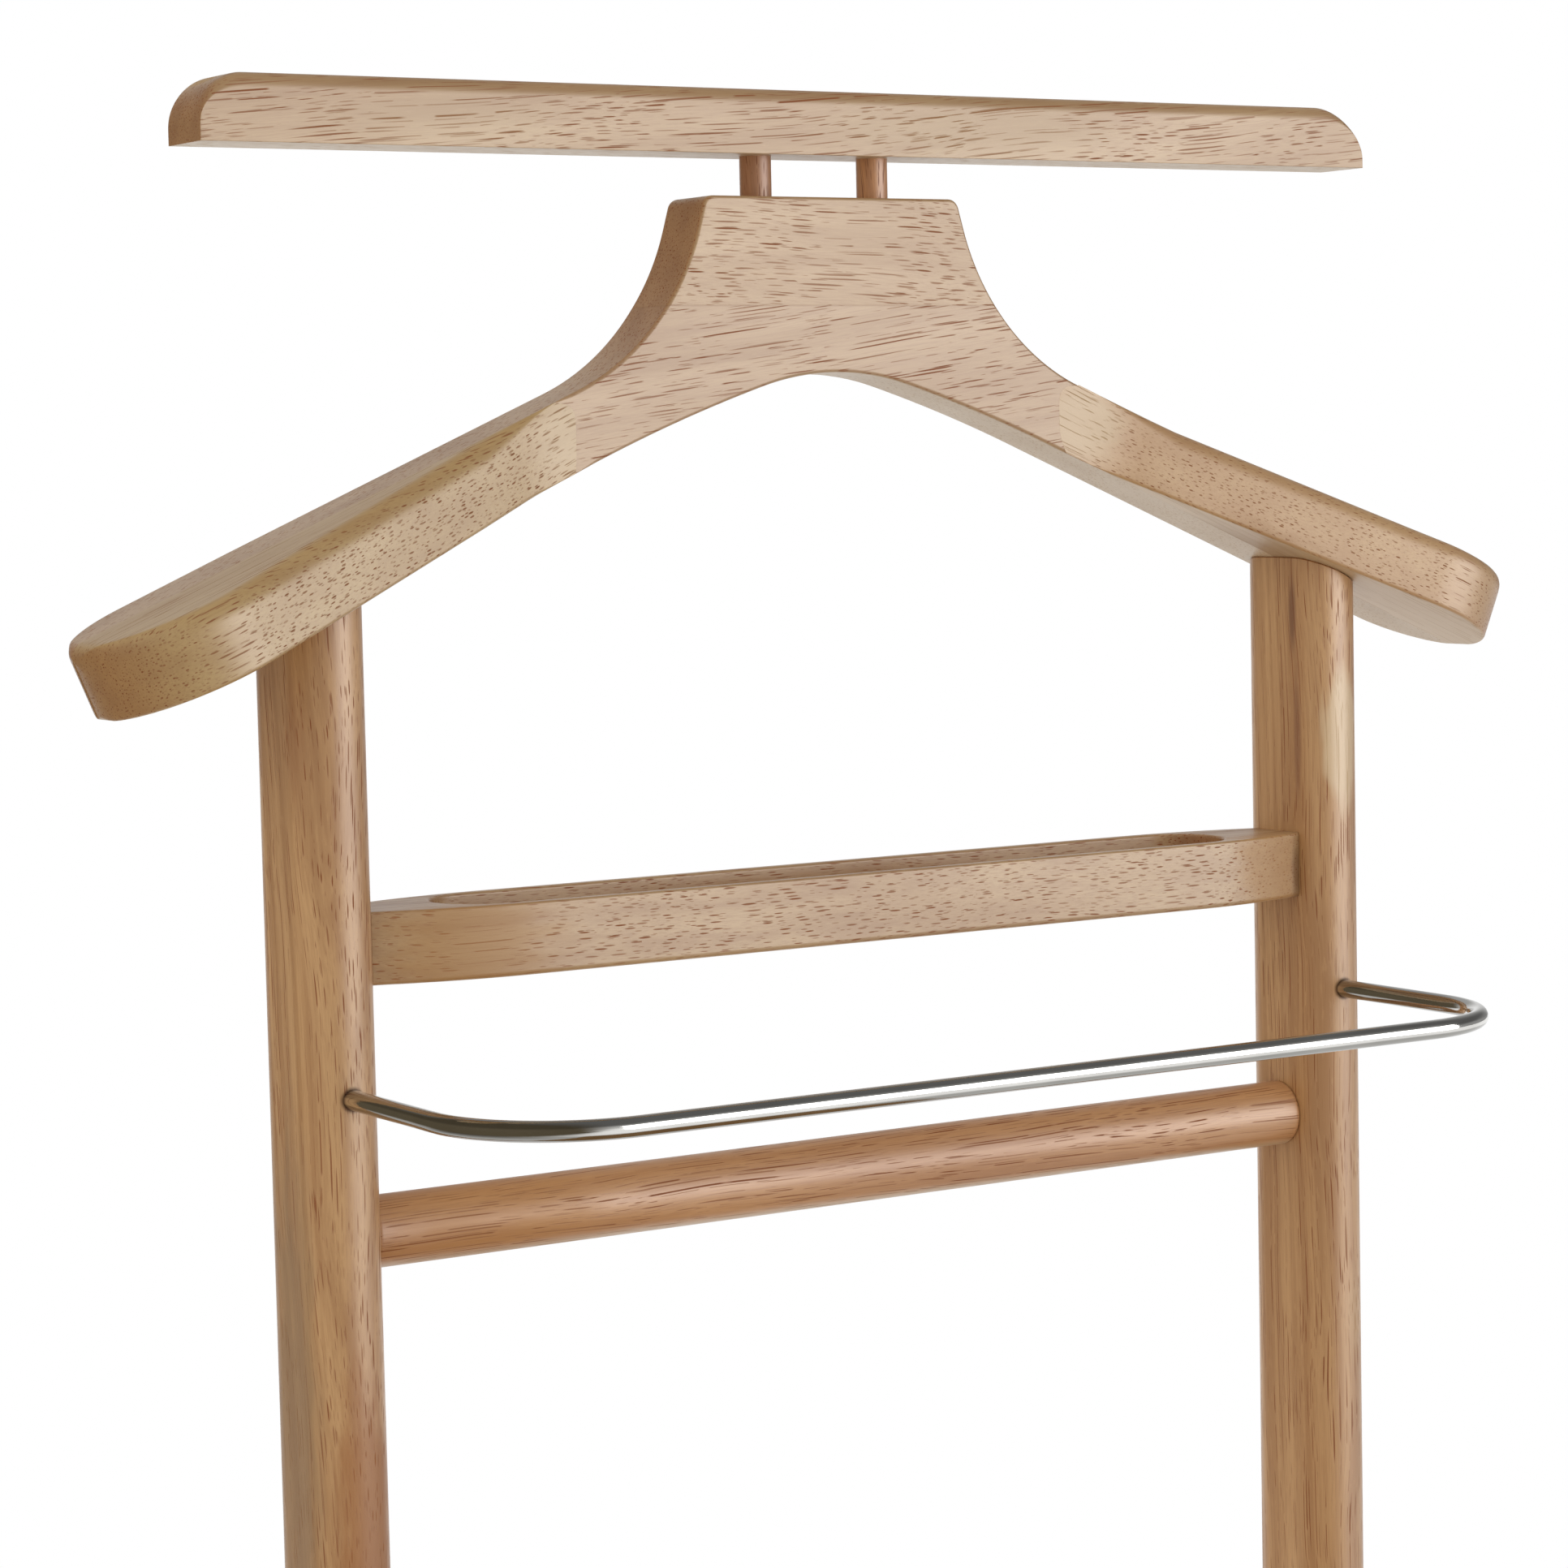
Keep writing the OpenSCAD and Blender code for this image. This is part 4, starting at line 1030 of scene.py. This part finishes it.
dressWood(joined("cornerBlocks", [buildCornerBlock(*corner) for corner in corners]), "cornerBlockWood",
          frameOf(floorPoint, (0, 0, 400)), "brown", 40, "corner_blocks", bands=0.5, tilt=(0, 0, 45))
print("stage: under-frame made")

# screws and glides are set on their places by Geometry Nodes
fixings = {"screwD": 4.0, "headD": 8.0, "screwL": 25.0, "thread": 1.6, "fromEnd": 9.0, "fromSide": 12.0,
           "seatScrewPlace": (22.0, 18.0), "seatCover": 6.0, "glideD": 18.0, "glideT": 3.0, "nailD": 2.5,
           "nailL": 14.0}


def partsOnPlaces(w, given):
    part = w.add("ObjectInfo", {"Object": given["Part"], "As Instance": True}, "Geometry")
    turn = w.add("InputNamedAttribute", {"Name": "turn"}, "Attribute", data_type="FLOAT_VECTOR")
    return w.add("InstanceOnPoints", {"Points": given["Places"], "Instance": part, "Rotation": turn,
                                      "Scale": given["Size"]})


placesTree = shapeTree("setOnPlaces", partsOnPlaces, Places="Geometry", Part="Object", Size="Float")


def setOnPlaces(name, part, places, material, node):
    # places: (point, direction the part's own z axis points to)
    mesh = bpy.data.meshes.new(name)
    mesh.from_pydata([p * metre for p, way in places], [], [])
    turns = mesh.attributes.new("turn", "FLOAT_VECTOR", "POINT")
    turns.data.foreach_set("vector", [angle for p, way in places
                                      for angle in way.to_track_quat("Z", "Y").to_euler("XYZ")])
    made = throughTree(name, mesh, placesTree, Part=part, Size=1.0, Finish=material)
    bpy.data.objects.remove(part)
    handOver(made, node)


def partPoint(along, x, y):
    return Vector((x, y, along))


def screwPart(length):
    # countersunk head with a round recess, ringed shank and a point
    head, shank = fixings["headD"] / 2, fixings["screwD"] / 2
    profile = [(0.9, 0.3), (0.0, 1.2), (0.0, head - 0.15), (0.15, head), (0.5, head), (2.6, shank + 0.1),
               (3.0, shank - 0.45)]
    z = 4.0
    while z < length - 3:
        profile += [(z, shank - 0.55), (z + 0.5, shank), (z + 0.8, shank)]
        z += fixings["thread"]
    return lathe("screw", profile + [(length - 2.4, shank - 0.5), (length, 0.15)], partPoint, 20)


def glidePart():
    r, t, nail, end = fixings["glideD"] / 2, fixings["glideT"], fixings["nailD"] / 2, fixings["nailL"]
    profile = [(0.25, 0.3), (0.0, r * 0.5), (0.0, r - 1.2), (0.35, r - 0.45), (1.0, r), (t, r),
               (t, nail + 0.1), (t + 0.05, nail), (t + end - 2, nail), (t + end, 0.15)]
    return lathe("glide", profile, partPoint, 36)


zinc = metalMaterial("zincPlate", (0.60, 0.61, 0.60), 0.28, 0.15)
nylon = plasticMaterial("glideNylon", (0.075, 0.07, 0.065))
blockLow, up = seatUnder - under["blockH"], Vector((0, 0, 1))
near, far = fixings["fromSide"], under["blockL"] - fixings["fromEnd"]
inward, along = fixings["seatScrewPlace"]
blockPlaces, seatPlaces = [], []
for side, way in corners:
    place = cornerPlace(side, way)
    blockPlaces += [(place(blockX - far, near, blockLow + under["blockH"] / 2), Vector((0, -way, 0))),
                    (place(blockX - near, far, blockLow + under["blockH"] / 2), Vector((side, 0, 0)))]
    seatPlaces.append((place(blockX - inward, along, blockLow), up))
glidePlaces = [(floorPoint(side * postX, y, 0), up) for side in sides for y in (legY, backY)]
seatScrewL = under["blockH"] + seat["thick"] - fixings["seatCover"]
setOnPlaces("blockScrews", screwPart(fixings["screwL"]), blockPlaces, zinc, "block_screws")
setOnPlaces("seatScrews", screwPart(seatScrewL), seatPlaces, zinc, "seat_screws")
setOnPlaces("footGlides", glidePart(), glidePlaces, nylon, "foot_glides")
print("stage: screws and glides set")

# these dowels stay as the CAD has them, hidden inside their joints
for node, axes, seed in (("hanger_dowels", dowelAxes, 50), ("tray_dowels", trayAxes, 51),
                         ("apron_dowels", hangerAxes, 52), ("stretcher_dowels", hangerAxes, 53)):
    material = woodMaterial(node.replace("_d", "D") + "Wood", axes, "brown", seed, bands=0.5)
    nodes[node].data.materials.clear()
    nodes[node].data.materials.append(material)

# floor, world, light and camera, in metres; the soft box is seen in the lacquer and the chrome only
studio = {
    "floorSize": 7.0, "floorColour": (0.86, 0.86, 0.86, 1), "plainFrom": 0.95, "plainTo": 2.1, "fill": 0.61,
    "leftFill": 1.6, "ceiling": 1.15, "glossCeiling": 0.35, "glossDark": (0.10, 0.08, 0.05, 1),
    "keyPower": 3.0, "keySize": (1.6, 1.6), "keyPlace": (1.45, -2.15, 1.25), "keyTarget": (0, 0.15, 0.9),
    "boxPower": 60.0, "boxSize": (2.5, 1.7), "boxPlace": (1.55, -1.92, 1.27), "boxTarget": (0, 0.15, 1.0),
    "lens": 94.07, "sensor": 36.0, "clip": (0.05, 60), "viewPlace": (-0.6343, -0.7899, 1.0174),
    "viewDown": 6.60, "viewAside": 32.10,
}
white = (1, 1, 1, 1)


def buildFloor():
    far = studio["floorSize"]
    mesh = bpy.data.meshes.new("floor")
    mesh.from_pydata([(-far, -far, 0), (far, -far, 0), (far, far, 0), (-far, far, 0)], [], [(0, 1, 2, 3)])
    material, w, shader = newMaterial("paleFloor")
    w.fill(shader, {"Base Color": studio["floorColour"], "Roughness": 0.9, "Specular IOR Level": 0.1})
    spot = w.add("TexCoord", output="Object")
    path = w.node("LightPath").outputs
    away = w.ramp(w.vector("LENGTH", spot), studio["plainFrom"], studio["plainTo"])
    # reflections of the floor are dark on the left too
    aside = w.times(w.ramp(w.parts(spot)[0], -0.1, -1.2), w.math("SUBTRACT", 1.0, path["Is Camera Ray"]))
    plain = w.add("Emission", {0: w.mix(aside, white, studio["glossDark"])})
    mirrored = w.larger(path["Is Glossy Ray"], path["Is Transmission Ray"])
    blend = w.larger(w.times(away, path["Is Camera Ray"]), mirrored)
    seen = w.add("MixShader", {0: blend, 1: shader.outputs[0], 2: plain})
    w.feed(w.tree.nodes["Material Output"].inputs[0], seen)
    mesh.materials.append(material)
    addObject("floor", mesh)


def buildWorld():
    world = bpy.data.worlds.new("studioWorld")
    scene.world = world
    world.use_nodes = True
    world.node_tree.nodes.clear()
    w = Wires(world.node_tree)
    path = w.node("LightPath").outputs
    seen = w.larger(path["Is Camera Ray"], w.larger(path["Is Glossy Ray"], path["Is Transmission Ray"]))
    x, y, z = w.parts(w.add("TexCoord", output="Generated"))
    # an even light all round; in reflections the studio is dark overhead and on the left
    even = w.times(w.ramp(w.ramp(z, 0.20, 0.75), 0, 1, 1, studio["ceiling"], False),
                   w.ramp(w.ramp(x, 0.15, -0.85), 0, 1, 1, studio["leftFill"], False))
    high = w.times(w.ramp(z, 0.05, 0.30, 1, 0.55), w.ramp(z, 0.45, 0.75, 1, studio["glossCeiling"]))
    high = w.times(high, w.ramp(x, 0.60, 0.90, 1, 0.3))
    mirrored = w.mix(w.ramp(x, 0.20, -0.35), w.mix(1.0, white, high, "MULTIPLY"), studio["glossDark"])
    mirrored = w.mix(path["Is Camera Ray"], mirrored, white)
    level = w.mix(seen, w.times(even, studio["fill"]), mirrored)
    w.node("OutputWorld", {0: w.add("Background", {0: level})})


def areaLight(name, kind):
    light = bpy.data.lights.new(name, "AREA")
    light.shape = "RECTANGLE"
    light.size, light.size_y = studio[kind + "Size"]
    light.energy = studio[kind + "Power"]
    lamp = addObject(name, light)
    place = Vector(studio[kind + "Place"])
    lamp.location = place
    lamp.rotation_euler = (Vector(studio[kind + "Target"]) - place).to_track_quat("-Z", "Y").to_euler()
    return lamp


def buildCamera():
    camera = bpy.data.cameras.new("photoCamera")
    camera.lens, camera.sensor_width = studio["lens"], studio["sensor"]
    camera.clip_start, camera.clip_end = studio["clip"]
    view = addObject("photoCamera", camera)
    view.location = studio["viewPlace"]
    view.rotation_euler = (math.radians(90 - studio["viewDown"]), 0, math.radians(-studio["viewAside"]))
    scene.camera = view


buildFloor()
buildWorld()
areaLight("keyLight", "key")
areaLight("softBox", "box").visible_diffuse = False
buildCamera()
scene.view_settings.view_transform = "Standard"
print("stage: studio set")
